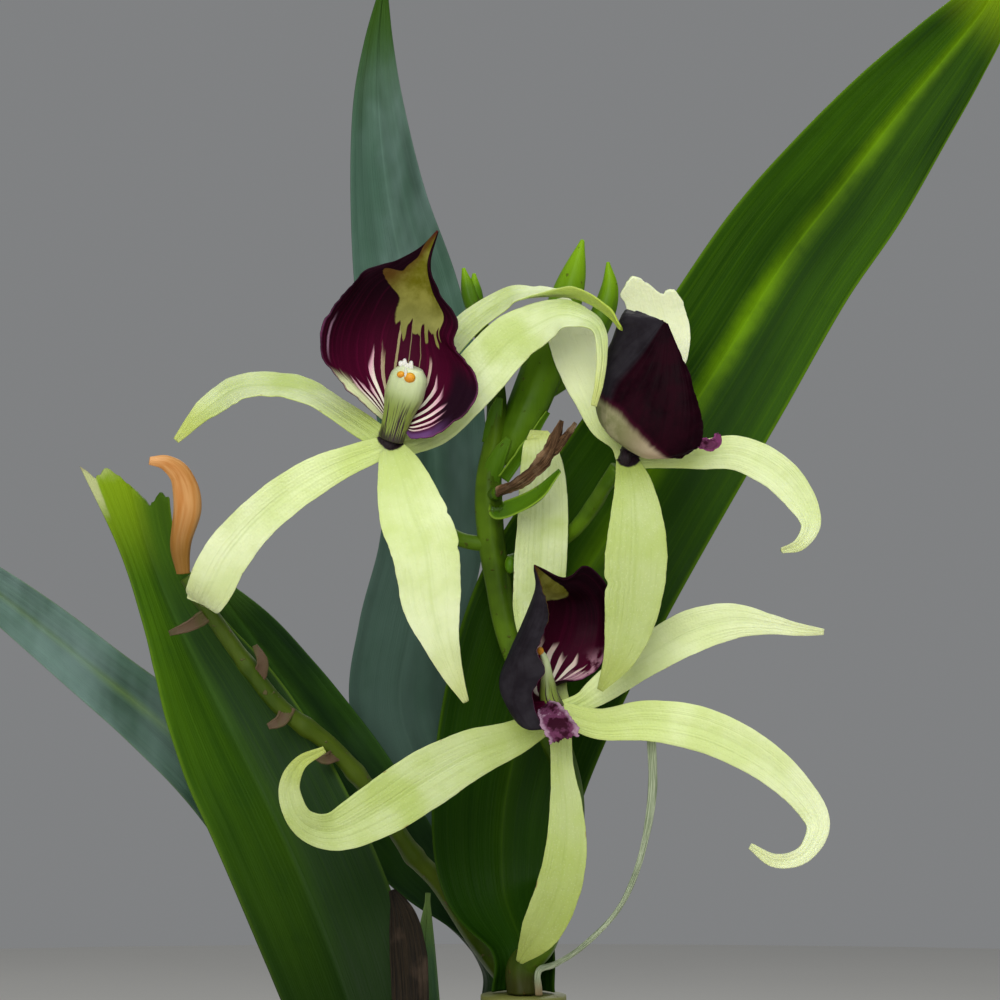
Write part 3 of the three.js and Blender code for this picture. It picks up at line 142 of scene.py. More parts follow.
BLOOMS = {
  "left": {
    "at": [-16.5, 8.3, -14],
    "yaw": -12,
    "lean": 20,
    "tepals": {
      "sepal_left": [
        [-24.5, 13.5, -13, 5, 48], [-29.3, 16.2, -11, 7, 58], [-34, 17, -9.5, 7.4, 60],
        [-39, 16.7, -8.5, 7.2, 56], [-42.2, 14.9, -8, 5.4, 45], [-45.5, 12.3, -8, 2.8, 20],
        [-48.6, 8.9, -8.5, 1, 0],
      ],
      "petal_left": [
        [-22.8, 5.9, -15, 4.4, 0], [-27.3, 3.8, -15, 5.5, 0], [-32.4, 0.5, -15, 6.1, 0],
        [-37.2, -3.7, -14.5, 6.4, 0], [-41.2, -8.6, -13.5, 7, 0], [-43.6, -13.4, -11.5, 6.8, 0],
        [-44.6, -15.4, -7.5, 5, 0], [-43.4, -13.8, -5, 2, 0],
      ],
      "sepal_low": [
        [-15, 4.4, -16, 6.9, 0], [-13.2, -1.8, -17, 9.9, 0], [-11.4, -6.6, -17.5, 10.2, 0],
        [-10.7, -11.3, -17.5, 9.4, 0], [-10.2, -16, -17, 8.5, 0], [-8.9, -21, -16, 5.7, 0],
        [-7.2, -25.8, -14.5, 3.3, 0], [-5.1, -30.3, -13, 0.9, 0],
      ],
      "petal_right": [
        [-13, 9.2, -12, 4.6, 0], [-9, 12, -10.8, 6.5, 0], [-3, 19, -10.5, 8, -5],
        [1.4, 23.7, -10.5, 7.8, -12],
        [4.8, 25.8, -11, 7.2, -20], [8.9, 27.6, -12.5, 6, -35], [12.3, 27.1, -14, 4.4, -42],
        [14.6, 25.5, -16, 2.8, -42], [15.3, 21.9, -18, 1.8, -30], [14.9, 17.7, -19, 1.4, -20],
        [14.1, 14.1, -19.5, 0.9, -20],
      ],
      "sepal_right": [
        [-15, 11.4, -10, 3.6, -10], [-12, 16, -7.5, 4.5, -30], [-6.8, 24, -6, 6.6, -50],
        [0.6, 29.8, -6.5, 7, -62], [4.8, 30.9, -8, 7, -75], [9.5, 31, -10, 6.5, -88],
        [13, 30.2, -12.5, 5.8, -98], [16.4, 28, -16, 4, -100], [18.2, 25.7, -18.5, 1, -100],
      ],
   },
    "column": [
      [HUB_TOP, 0, 1.2, 1.5], [5, 0, 1.9, 1.9], [8, 0, 2.6, 2.5], [10.2, 0, 3.2, 2.6], [11.6, 0, 3.6, 1.6],
    ],
 },
  "right": {
    "at": [19, 6.3, -12],
    "yaw": 110,
    "lean": 12,
    "tepals": {
      "sepal_left": [
        [17.7, 8.6, -8.6, 2.6, 0], [15.4, 11.4, -4.4, 4.4, 0], [14, 16.2, -2.2, 6.8, 0],
        [11.7, 21.8, -1.2, 7.5, 0], [10, 26.5, -1.6, 6.5, 0], [9.6, 28.6, -1.4, 4, 0],
        [10.2, 27.8, -0.2, 1.6, 0],
      ],
      "sepal_right": [
        [19.5, 6.8, -6.5, 3, 0], [20, 8.4, -1.4, 3.4, 0], [20.9, 12, 1.4, 4.6, 0], [23, 17.3, 2.4, 6.5, 0],
        [24.6, 23.5, 3, 8, 0], [23.4, 28.5, 2.6, 8.6, 0], [21.8, 34.3, 0.6, 8.4, 0],
      ],
      "petal_right": [
        [24.8, 6.4, -11, 3.2, 0], [30, 6.8, -10.5, 4.4, 0], [35.7, 7, -10.5, 5.2, 0],
        [41.3, 4.3, -11, 5.4, 0],
        [45, 0.2, -11.5, 4.6, 0], [46.6, -3.6, -12.5, 3, 0], [45, -6.6, -14.5, 1.9, 0],
        [42.2, -7.6, -16, 0.9, 0],
      ],
      "petal_low": [
        [20.1, 1.5, -15, 6, 0], [20.5, -4.5, -17, 8.4, 0], [20.3, -10.5, -18, 9.2, 0],
        [19.6, -17.3, -18.5, 7.8, 0], [18, -23.3, -18.5, 5, 0], [15, -28.5, -17.5, 1, 0],
      ],
      "sepal_low": [
        [20.8, 3.4, -9.4, 2.6, 0], [21.6, 0.5, -7.5, 3.6, 0], [21.4, -4.5, -5.5, 6, 0],
        [20.9, -10.5, -3, 6.2, 0], [20.1, -15.8, -1, 4.5, 0], [19.2, -21, 0, 1, 0],
      ],
   },
    "column": [
      [HUB_TOP, 0, 0.9, 1.4], [5, 0, 1.4, 1.7], [8, 0, 1.9, 2.2], [10.2, 0, 2.3, 2.2], [11.4, 0, 2.5, 1.2],
    ],
 },
  "low": {
    "at": [9, -31.8, -10],
    "yaw": 58,
    "lean": -8,
    "tepals": {
      "sepal_left": [
        [8.9, -30.2, -6.6, 3, 0], [8.3, -28, -3.6, 3.6, 0], [7.2, -24, -1.6, 5.8, 0], [6, -17.5, -1, 7.8, 0],
        [6, -10.5, -1, 8, 0], [6.4, -3.5, -1.2, 7.8, 0], [6.4, 3, -2, 7, 0], [6, 7.4, -3, 5.5, 0],
        [5.8, 9.1, -2.6, 4, 0], [5.7, 8.5, -1.4, 2, 0],
      ],
      "petal_left": [
        [2.3, -35.6, -8.5, 5.2, 0], [-4.5, -38.2, -10.5, 7.4, 0], [-11.3, -42, -14.5, 8.7, 0],
        [-18.3, -46.5, -18, 8.2, 0], [-24.8, -49.6, -19, 6, 0], [-29.6, -48.3, -21, 4, 0],
        [-31.6, -43.6, -22, 3.2, 0], [-30.1, -39.6, -22.5, 2.2, 0], [-26.3, -37.4, -22, 1, 0],
      ],
      "sepal_low": [
        [9.3, -39.8, -13, 3.4, 0], [9.9, -45.8, -14, 4.8, 0], [9.9, -52.5, -15, 6.2, 0],
        [8.6, -58.8, -15, 6.6, 0], [6, -64.8, -13, 5.8, 0], [2.9, -69.3, -9.5, 1.2, 0],
      ],
      "petal_right": [
        [15, -33.6, -12, 4.6, 0], [22.5, -33.1, -13, 6.1, 0], [30.8, -34.6, -13, 6.6, 0],
        [38.6, -38.4, -12.5, 6, 0], [44.5, -43.4, -12, 4.8, 0], [47.7, -48.6, -12, 3.6, 0],
        [45.6, -53.1, -13, 2.6, 0], [41.3, -54.1, -14, 2.1, 0], [37.5, -51.9, -14.5, 0.9, 0],
      ],
      "sepal_right": [
        [12.2, -30.4, -9.4, 3, 0], [15, -28.5, -9, 4.3, 0], [21.8, -23.6, -7, 5.8, 0],
        [28.5, -19.8, -6, 6.6, 0], [34.8, -18.2, -6, 5.4, 0], [40.2, -18.6, -6.5, 3.2, 0],
        [44.6, -19.4, -7, 2, 0], [48.6, -19.8, -7.5, 0.9, 0],
      ],
   },
 },
}

# The lips as nets of points [right, down, back]: right and down in thousandths of the view, which is 150 mm
# wide at the spray, and back in millimetres. Each row runs across the lip, and rows go from base to tip.
LIPS = {
  "left": [
    [
      [387, 424, -13.4], [390, 424, -13.1], [393, 425, -12.9], [396, 426, -12.8], [400, 428, -12.9],
      [401, 426, -12.9], [403, 426, -13.2],
    ],
    [
      [366, 406, -16.5], [372, 404, -15.2], [382, 402, -13.8], [398, 406, -13.2], [412, 414, -14.2],
      [416, 428, -16], [412, 439, -17.6],
    ],
    [
      [346, 386, -17.6], [356, 387, -15.8], [375, 388, -13.2], [402, 392, -12.4], [425, 404, -13.8],
      [436, 420, -16.4], [434, 434, -18.6],
    ],
    [
      [325, 363, -18], [341, 368, -15.8], [369, 372, -12.8], [405, 376, -11.9], [436, 388, -13.6],
      [455, 404, -16.6], [462, 418, -19],
    ],
    [
      [320, 338, -18], [337, 346, -15.6], [368, 352, -12.6], [408, 356, -11.6], [440, 365, -13.2],
      [464, 377, -16], [480, 390, -18.4],
    ],
    [
      [327, 314, -17.4], [342, 324, -15.2], [370, 333, -12.5], [410, 338, -11.6], [436, 346, -12.8],
      [456, 355, -14.8], [468, 364, -16.8],
    ],
    [
      [344, 292, -16.2], [354, 303, -14.6], [377, 314, -12.6], [412, 322, -11.9], [434, 330, -12.8],
      [446, 338, -14.2], [454, 346, -15.6],
    ],
    [
      [364, 271, -15], [371, 281, -14.2], [388, 293, -13.1], [416, 305, -12.6], [438, 312, -13.2],
      [450, 318, -14], [458, 324, -14.8],
    ],
    [
      [396, 260, -14.8], [400, 264, -14.6], [408, 272, -14], [421, 284, -13.6], [430, 288, -13.9],
      [436, 292, -14.2], [440, 295, -14.6],
    ],
    [
      [420, 247, -15.4], [422, 249, -15.4], [425, 253, -15.2], [428, 258, -15], [429, 261, -15.1],
      [429, 264, -15.2], [429, 266, -15.3],
    ],
    [
      [437, 230, -16.3], [437.3, 230.3, -16.3], [437.6, 230.6, -16.3], [438, 231, -16.3],
      [438.2, 231.3, -16.3], [438.4, 231.6, -16.3], [438.6, 232, -16.3],
    ],
  ],
  "right": [
    [
      [656, 458, -15.6], [646, 457, -15.8], [637, 453, -15.5], [626, 446, -15.1], [616, 438, -14.2],
      [610, 431, -11.4], [634, 427, -7],
    ],
    [
      [676, 457, -17.4], [660, 455, -18], [640, 449, -17.6], [618, 438, -16.6], [605, 426, -14.6],
      [603, 412, -10.2], [650, 405, -3.8],
    ],
    [
      [697, 449, -18.8], [678, 447, -19.2], [650, 434, -18.8], [620, 415, -17.4], [603, 402, -15],
      [601, 388, -9.8], [652, 380, -2.8],
    ],
    [
      [704, 430, -19.4], [684, 420, -19.8], [657, 406, -19], [628, 391, -17.4], [608, 381, -15.2],
      [606, 360, -9.8], [646, 350, -2.8],
    ],
    [
      [699, 404, -19.4], [684, 394, -19.6], [663, 383, -19], [640, 373, -17.6], [621, 366, -15.6],
      [613, 340, -10.6], [632, 324, -4.4],
    ],
    [
      [689, 373, -18.8], [680, 368, -19], [665, 362, -18.4], [650, 356, -17.6], [637, 350, -16.2],
      [622, 324, -12.4], [627, 311, -8.4],
    ],
    [
      [678, 348, -17.8], [673, 345, -17.8], [666, 342, -17.6], [658, 339, -17.2], [651, 335, -16.6],
      [640, 321, -14.8], [644, 314, -13],
    ],
    [
      [668, 324, -16.8], [667, 323.4, -16.8], [666, 322.8, -16.7], [665, 322.2, -16.7],
      [664, 321.6, -16.7], [663, 321, -16.6], [662, 320.4, -16.6],
    ],
  ],
  "low": [
    [
      [550, 717, -15.6], [547, 711, -14.2], [545, 704, -12.6], [546, 697, -10.4], [549, 688, -8.6],
      [554, 682, -7.8],
    ],
    [
      [545, 728, -18.4], [525, 726, -16.8], [526, 700, -8], [545, 690, -6.2], [557, 684, -6.2],
      [564, 680, -7.6],
    ],
    [
      [532, 694, -18.4], [507, 704, -15.6], [518, 682, -6.8], [548, 672, -4.6], [571, 676, -5],
      [584, 679, -7],
    ],
    [
      [545, 672, -18.2], [502, 684, -14.6], [515, 663, -6.2], [552, 655, -3.4], [586, 664, -4],
      [602, 664, -6],
    ],
    [[537, 651, -18], [510, 661, -14.2], [520, 642, -6.2], [560, 640, -2.8], [595, 645, -3], [610, 642, -5]],
    [
      [543, 632, -17.4], [522, 636, -14.2], [530, 618, -7], [566, 618, -2.8], [599, 620, -2.6],
      [612, 614, -4.6],
    ],
    [
      [549, 612, -16.6], [533, 610, -14.4], [537, 598, -8.6], [566, 600, -4], [594, 598, -3],
      [609, 590, -4.6],
    ],
    [
      [545, 597, -16], [537, 592, -14.6], [540, 586, -10.8], [558, 590, -7.6], [579, 584, -5.4],
      [588, 566, -5.6],
    ],
    [
      [540, 581, -15.6], [537, 579, -15], [538, 577, -13.4], [547, 578, -11.4], [557, 578, -9.8],
      [566, 579, -9.2],
    ],
    [
      [534, 565, -16], [534.3, 565.1, -16], [534.6, 565.2, -15.9], [534.9, 565.3, -15.9],
      [535.2, 565.4, -15.8], [535.5, 565.5, -15.8],
    ],
  ],
}
# Small tongues of lip that curl out of the margin: [right, down, back, width in mm, roll].
TONGUES = {
  "right": [
    [696, 443, -18.8, 1.2, 0], [703, 444, -19.1, 1.8, 0], [711, 444, -19.7, 2.1, 10],
    [717, 440, -20.1, 1.7, 25], [717, 432, -20.2, 0.8, 40],
  ],
  "low": [
    [545, 706, -15.6, 2.6, 0], [551, 714, -18.2, 4.2, 0], [557, 723, -20, 5, 0],
    [562, 732, -20.8, 5.2, 0], [565, 741, -20.6, 4.8, 0],
  ],
}
# Ragged ends: the share cut off the length at places across, straight in between.
ENDS = {
  "leaf_torn": ([-1, -0.78, -0.45, 0.42, 0.76, 1], [0.002, 0.0165, 0.0092, 0.052, 0.0415, 0.05]),
  ("right", "sepal_right"): (
    [-1, -0.8, -0.55, -0.3, 0.1, 0.35, 0.6, 0.85, 1],
    [0.07, 0.02, 0, 0.01, 0.06, 0.095, 0.08, 0.09, 0.14],
  ),
}
# Bites out of a tepal's margin: side, place along it, depth and width.
NOTCHES = {
  ("left", "sepal_low"): [(-1, 0.3, 0.06, 0.012), (-1, 0.41, 0.05, 0.01)],
  ("right", "petal_low"): [(1, 0.56, 0.12, 0.02)],
  ("right", "sepal_right"): [(-1, 0.95, -0.2, 0.02)],
}
# Painted light: tepals made paler and lighter than the others. Painted shade: tepals made duller toward their
# tips.
PAINTED_LIGHT = {
  ("right", "sepal_left"): 1, ("right", "sepal_right"): 1, ("right", "petal_right"): 0.35,
  ("left", "petal_left"): 0.4, ("left", "sepal_low"): 0.3,
  ("low", "petal_right"): 0.45, ("low", "sepal_right"): 0.5,
}
PAINTED_SHADE = {
  ("right", "petal_low"): 0.7, ("low", "petal_left"): 0.5, ("low", "sepal_low"): 0.8,
  ("left", "sepal_left"): 0.25,
}
# For each lip: how many rays, how far they reach, how pale its basal corner is, and its pale base outside.
RAYS = {"left": (58, 0.4, 1.0, 0.1), "right": (34, 0.3, 0.0, 0.31), "low": (42, 0.6, 0.0, 0.0)}

# The low bloom's column tapers to a yellow point: [right, down, back, radius].
SLENDER = [
  [557, 709, -10.6, 1.3], [550, 698, -10.8, 1.55], [548, 686, -11, 1.25], [547, 673, -11.2, 0.85],
  [546, 663, -11.3, 0.62], [543.5, 656, -11.4, 0.5], [541.5, 652, -11.4, 0.35],
]
SLENDER_TIP = [540.5, 651, -11.6]

DRY_STUB = [
  [-13, -82, -14, 6.5, -40, 0, 30], [-13.4, -71, -12, 6, -20, 0, 25], [-14.5, -63, -10.5, 4.4, 10, 0, 20],
  [-16.2, -58.5, -9.5, 1, 30, 0, 0],
]

STRAND = [
  [5.8, -70.7, -5.2, 0.45], [8.3, -69.6, -5.4, 0.45], [12.1, -67.2, -5.8, 0.45], [17, -62.4, -6.3, 0.45],
  [19.9, -57.2, -7, 0.45], [21.9, -50.4, -7.8, 0.5], [22.9, -43, -8.6, 0.6], [22.7, -35.5, -9.5, 0.6],
]

RACHIS = [
  [6.6, -66, -3.5, 2.1], [9.2, -57, -2.5, 2], [10.6, -47, 0.5, 2], [9.3, -39, 3, 2], [5.2, -30, 3, 2],
  [1.5, -21, 3, 2], [-0.4, -12, 2.5, 2], [-1.5, -4.5, 2, 2], [-1.7, 3, 1.5, 1.9], [-0.6, 10.5, 1, 1.6],
  [-0.8, 18, 0.5, 1.4], [-3.2, 27, 0, 1.2], [-4.6, 32, 0, 0.8],
]

PEDICELS = {
  "left": [
    [-1.6, -6.8, 2, 1.2], [-6.8, -5.5, 1.5, 1.1], [-11.3, -1, -1.5, 1.1], [-14.2, 4.4, -7.5, 1.2],
  ],
  "right": [
    [1, -9.5, 2.5, 1.2], [6, -7.8, 3.5, 1.1], [10.8, -4.8, 1, 1.1], [14.2, -0.6, -3.5, 1.2],
    [15.8, 2, -8.6, 1.1],
  ],
  "low": [
    [4, -28, 3, 1.3], [3.2, -31.4, -0.5, 1.2], [5.4, -33, -5, 1.2],
  ],
}

BUDS = [
  [
    [0.2, 5.5, 1, 1.2], [2.6, 10.5, 1.5, 2.7], [5.4, 17, 2.5, 3.2], [8.4, 25.5, 4.5, 2.9], [10.8, 33, 6, 2.1],
    [12.4, 39, 7, 0.3],
  ],
  [
    [-0.4, 11, 1, 1], [5, 15, 7, 1.3], [11, 20, 8.5, 1.9], [15, 27, 9, 1.9], [16.4, 31.5, 9, 1.4],
    [16.2, 35.7, 9, 0.25],
  ],
  [
    [-3.4, 27, 0, 1], [-4.6, 31, 0, 1.2], [-5.5, 34.8, 0, 0.25],
  ],
  [
    [-3.2, 27.5, 0.5, 1], [-3.7, 31, 0.5, 1.1], [-3.9, 34, 0.5, 0.25],
  ],
]

BRACTS = [
  [
    [-1.6, 2.6, 0.2, 3.4, 0, 0, -60], [-0.5, 6, -0.9, 3, 0, 0, -40], [1.3, 9.3, -1.6, 0.9, 0, 0, 0],
  ],
  [
    [0.4, 3.2, 0.6, 2.2, 30, 0, 30], [3.5, 7.5, 0, 1.8, 30, 0, 30], [7.2, 13.2, 0.3, 0.8, 30, 0, 0],
  ],
  [
    [-1.4, 8.5, 0.4, 3, 0, 0, -50], [-0.8, 12.5, -0.5, 2.4, 0, 0, -30], [0, 15.4, -1, 0.9, 0, 0, 0],
  ],
  [
    [-0.6, -1.2, 1.2, 3, -40, 0, 50], [0.6, -1.8, -5, 3.4, -40, 0, 50], [5.4, 0.2, -8.6, 3.4, -50, 0, 50],
    [9, 4.4, -10.4, 0.9, -50, 0, 20],
  ],
]

STUB = [
  [-1.2, 0.8, 1.6, 1.1], [-0.4, 1, -3.4, 0.9],
]

WITHERED = [
  [
    [-0.3, 1.1, -3.9, 0.9], [2.4, 2.4, -7, 1.1], [5.8, 5.1, -10, 1.3], [7.8, 8, -11.6, 1.2],
    [9.2, 11.9, -12.8, 0.5],
  ],
  [
    [6.4, 6, -10, 0.9], [8.6, 8, -11.6, 0.9], [10, 9.6, -12.2, 0.7], [11.3, 11.6, -12.6, 0.4],
  ],
]

SPENT = [
  [0, -70.5, 23.5, 1.6], [-4, -65, 20, 1.6], [-9, -57.5, 16.5, 1.5], [-13.2, -53, 14, 1.4],
  [-19.4, -43.8, 9.5, 1.3], [-25.5, -36.8, 6, 1.3], [-33, -31, 3.5, 1.25], [-39, -23.3, 2, 1.2],
  [-44.3, -15.8, 1, 1.1], [-47.1, -11.6, 0.5, 1],
]

DRIED_BRACTS = [
  [
    [-43.6, -17, 1, 2.2, 0, 0, 30], [-46.4, -18.8, -0.8, 1.8, 0, 0, 30], [-49.6, -20, -1.8, 0.8, 0, 0, 0],
  ],
  [
    [-36.4, -27, 2.4, 2.2, 0, 0, 30], [-35.6, -24.4, 0.8, 1.8, 0, 0, 30], [-36.8, -21.8, 0.4, 0.8, 0, 0, 0],
  ],
  [
    [-31.8, -31, 3.4, 2.4, 0, 0, 30], [-32.8, -33, 2, 2, 0, 0, 30], [-34.8, -34, 1.4, 0.9, 0, 0, 0],
  ],
  [
    [-24.4, -38, 6, 2.2, 0, 0, 30], [-26, -38.8, 4.4, 1.8, 0, 0, 30], [-27.6, -38.6, 3.8, 0.9, 0, 0, 0],
  ],
]

WITHERED_BUD = [
  [-47.5, -11, 0.2, 1], [-47.9, -6.6, -0.6, 1.6], [-46.9, -1, -1.2, 2.1], [-47.8, 3.4, -2.4, 1.7],
  [-50, 5.5, -3.4, 1.2], [-52.6, 5.9, -4, 0.6],
]


# Curves
def seen(rows):
    """Rows [across, up, back, ...] as seen from the front become [x, y, z, ...].

    Going back by b moves a point along its line of sight: across and up grow by 1 + b / SIGHT.
    """
    rows = np.array(rows, float)
    spread = 1 + rows[:, 2] / SIGHT
    placed = rows.copy()
    placed[:, 0] = rows[:, 0] * spread
    placed[:, 1] = rows[:, 2]
    placed[:, 2] = SPRAY_HEIGHT + rows[:, 1] * spread
    return placed


def viewed(points):
    """Points [right, down, back, ...], the first two in thousandths of the view, become [x, y, z, ...]."""
    points = np.array(points, float)
    across, up = (points[..., 0] - 500) * VIEW_STEP, (500 - points[..., 1]) * VIEW_STEP
    shape = points.shape
    flat = np.concatenate([across[..., None], up[..., None], points[..., 2:]], -1).reshape(-1, shape[-1])
    return seen(flat).reshape(shape)


def along(rows, t):
    """Rows at t from 0 to 1: a uniform Catmull-Rom curve whose end rows are mirrored past both ends."""
    rows = np.asarray(rows, float)
    rows = np.vstack([2 * rows[0] - rows[1], rows, 2 * rows[-1] - rows[-2]])
    last = len(rows) - 3
    t = np.asarray(t, float)
    i = np.clip(np.floor(t * last).astype(int), 0, last - 1)
    f = (t * last - i)[..., None]
    a, b, c, d = rows[i], rows[i + 1], rows[i + 2], rows[i + 3]
    return 0.5 * (2 * b + (c - a) * f + (2 * a - 5 * b + 4 * c - d) * f**2 + (3 * (b - c) + d - a) * f**3)


def unit(v):
    """v at length 1."""
    return v / np.maximum(np.linalg.norm(v, axis=-1, keepdims=True), 1e-12)


def heading(rows, t):
    """Direction of the curve at t: the unit chord from just before t to just after it."""
    step = 1e-3
    return unit(along(rows, np.minimum(t + step, 1))[..., :3] - along(rows, np.maximum(t - step, 0))[..., :3])


def part_of(x, low, high):
    """0 below low, 1 above high, and the smooth cubic 3u^2 - 2u^3 of the share u in between."""
    u = np.clip((np.asarray(x, float) - low) / (high - low), 0, 1)
    return u * u * (3 - 2 * u)


def bump_at(x, middle, width):
    """A bell of height 1 at middle: e to the minus square of the distance over width."""
    return np.exp(-(((np.asarray(x, float) - middle) / width) ** 2))


def sway(x, seed, waves=(1.0, 2.3, 4.1)):
    """A wavering line between about -1 and 1: sines of x at each wave number, with phases drawn from seed."""
    total = sum(np.sin(w * x + 12.9898 * seed * (k + 1)) / (k + 1) for k, w in enumerate(waves))
    return total / 1.8


def draw(i, j, k):
    """A repeatable draw from 0 to 1: the broken part of a large multiple of a sine of the three numbers."""
    v = np.sin(np.asarray(i) * 127.1 + np.asarray(j) * 311.7 + k * 74.7) * 43758.5453
    return v - np.floor(v)


def full_turn(count):
    """Angles of `count` points spread evenly round a circle."""
    return np.linspace(0, 2 * math.pi, count, endpoint=False)


def lattice(down, across):
    """Two grids: `down` the same along each row, and `across` the same down each column."""
    return np.meshgrid(down, across, indexing="ij")


def there_and_back(grid):
    """A grid with its columns repeated in reverse: across a blade and back along its underside."""
    return np.concatenate([grid, grid[:, ::-1]], 1)


# Skins: closed surfaces on a grid of rings
def skin(rings, **marks):
    """A closed surface over rings of points (n, m, 3), with a strip across the first and the last ring.

    m is even, and points run anticlockwise seen from the last ring. Each mark is a grid (n, m) of numbers.
    """
    n, m = rings.shape[:2]
    ring, spot = lattice(np.arange(n - 1) * m, np.arange(m))
    a = ring + spot
    b = ring + (spot + 1) % m
    sides = np.stack([a, b, b + m, a + m], -1).reshape(-1, 4)
    j = np.arange(m // 2 - 1)
    first = np.stack([j, m - 1 - j, m - 2 - j, j + 1], -1)
    last = (n - 1) * m + np.stack([j, j + 1, m - 2 - j, m - 1 - j], -1)
    spread = {key: np.broadcast_to(value, (n, m)).reshape(-1) for key, value in marks.items()}
    return rings.reshape(-1, 3), np.vstack([sides, first, last]), spread


def blade_surface(rows, t, s):
    """Middle surface of a blade, t along it and s from -1 to 1 across: points, face normals, half widths.

    A row is [x, y, z, width, roll, fold, cup, sweep]. The face is FRONT made square to the curve and
    turned by roll. Across it the slope is fold + cup |s|, whose integral gives the step sideways (sines)
    and the rise (cosines); sweep draws the margins back by sweep s^2. CREASE rounds the midrib.
    """
    row = along(rows, t)
    tangent = heading(rows, t)
    face = unit(FRONT - tangent * (tangent @ FRONT)[..., None])
    roll = (row[..., 4] * DEGREE)[..., None]
    face = face * np.cos(roll) + np.cross(tangent, face) * np.sin(roll)
    side = np.cross(tangent, face)
    half = np.maximum(row[..., 3], THINNEST) / 2
    share = (np.sqrt(s**2 + CREASE**2) - CREASE) / (math.sqrt(1 + CREASE**2) - CREASE)
    lean = s / np.sqrt(s**2 + CREASE**2)
    fold = row[..., 5] * DEGREE
    cup = row[..., 6] * DEGREE
    bend = np.where(cup < 0, -1, 1) * np.maximum(np.abs(cup), 1e-3)
    slope = fold + bend * share
    sideways = np.sign(s) * half * (np.sin(fold + bend * np.abs(s)) - np.sin(fold)) / bend
    rise = half * (np.cos(fold) - np.cos(slope)) / bend
    sweep = row[..., 7] if row.shape[-1] > 7 else 0 * s
    point = row[..., :3] + side * sideways[..., None] + face * rise[..., None]
    point = point - tangent * (sweep * s**2)[..., None]
    normal = face * np.cos(slope)[..., None] - side * (lean * np.sin(slope))[..., None]
    return point, normal, half


def net_surface(net, t, s):
    """A surface through a net of points: Catmull-Rom along each column of the net, then across the rows.

    t and s are grids (n, m) with t the same along each row and s the same down each column.
    """
    rows, columns = net.shape[:2]
    long = along(net.reshape(rows, -1), t[:, 0]).reshape(len(t), columns, 3)
    wide = along(long.transpose(1, 0, 2).reshape(columns, -1), (s[0] + 1) / 2)
    return wide.reshape(s.shape[1], len(t), 3).transpose(1, 0, 2)


def grid_of(steps, cells):
    """t down and s across a blade, with s as a sine so that the margins get finer cells."""
    cross = np.sin(np.linspace(-1, 1, cells + 1) * math.pi / 2)
    return lattice(np.linspace(0, 1, steps + 1), cross)


def blade(rows, steps, cells, thick, end=None, relief=None, keel=0.0, inset=None, **marks):
    """A closed blade: its middle surface, raised by relief(t, s) and thickened.

    inset(t, s) is the share by which a margin is drawn in, and end(s) the share of the length at s.
    """
    t, s = grid_of(steps, cells)
    if end is not None:
        t = t * end(s)
    shaped = s if inset is None else s * (1 - inset(t, s))
    point, normal, half = blade_surface(rows, t, shaped)
    if relief is not None:
        point = point + normal * relief(t, s)[..., None]
    return thickened(point, normal, t, s, half, thick, keel, **marks)


def thickened(point, normal, t, s, half, thick, keel=0.0, **marks):
    """A surface made a closed body: both faces half the thickness away from it.

    Thickness falls from the midrib to the margins as 0.25 + 0.75 times the root of 1 - s^2, and a keel, a
    bell across s, is added under the midrib.
    """
    body = thick / 2 * (0.25 + 0.75 * np.sqrt(np.maximum(1 - s**2, 0))) * np.minimum(1, 0.35 + half / 2.5)
    ridge = keel * bump_at(s, 0, 0.16) * np.minimum(1, half / 3)
    top = point + normal * body[..., None]
    under = point - normal * (body + ridge)[..., None]
    rings = np.concatenate([top, under[:, ::-1]], 1)
    back = np.concatenate([np.zeros_like(s), np.ones_like(s)], 1)
    length, breadth, half = there_and_back(t), there_and_back(s), there_and_back(half)
    return skin(rings, length=length, breadth=breadth, back=back, half=half, **marks)


def stem(rows, steps, sides, flat=1.0, beyond=(0, -1, 0), shape=None, **marks):
    """A stem through rows [x, y, z, radius]: at each step a ring square to the curve.

    The ring is radius times (cosine across, sine deep) times shape(t, turn); flat squeezes its depth.
    """
    t = np.linspace(0, 1, steps + 1)
    row = along(rows, t)
    tangent = heading(rows, t)
    beyond = np.array(beyond, float)
    deep = unit(beyond - tangent * (tangent @ beyond)[:, None])
    across = np.cross(deep, tangent)
    grid_t, grid_turn = lattice(t, full_turn(sides))
    wide = row[:, 3:4] * (np.ones_like(grid_t) if shape is None else shape(grid_t, grid_turn))
    rings = (
        row[:, None, :3]
        + across[:, None] * (wide * np.cos(grid_turn))[..., None]
        + deep[:, None] * (wide * flat * np.sin(grid_turn))[..., None]
    )
    marks = {"length": grid_t, "breadth": np.cos(grid_turn), "back": 0.5 - 0.5 * np.sin(grid_turn), **marks}
    return skin(rings, **marks)


def pebble(centre, radii, seed=0, rings=10, sides=16, rough=0.0, **marks):
    """A rounded lump: a ball of sines and cosines stretched by radii, its radius swayed by `rough`."""
    polar = np.linspace(0.04, math.pi - 0.04, rings)[:, None]
    turn = full_turn(sides)[None, :]
    wobble = 1 + rough * sway(3 * turn + 2 * polar, seed) * np.sin(polar)
    ball = np.stack(
        [
            np.sin(polar) * np.cos(turn) * wobble,
            np.sin(polar) * np.sin(turn) * wobble,
            -np.cos(polar) * np.ones_like(turn) * wobble,
        ],
        -1,
    )
    length = np.broadcast_to(polar / math.pi, (rings, sides))
    points = np.asarray(centre) + ball * np.asarray(radii, float)
    return skin(points, length=length, breadth=np.cos(turn), back=0, **marks)


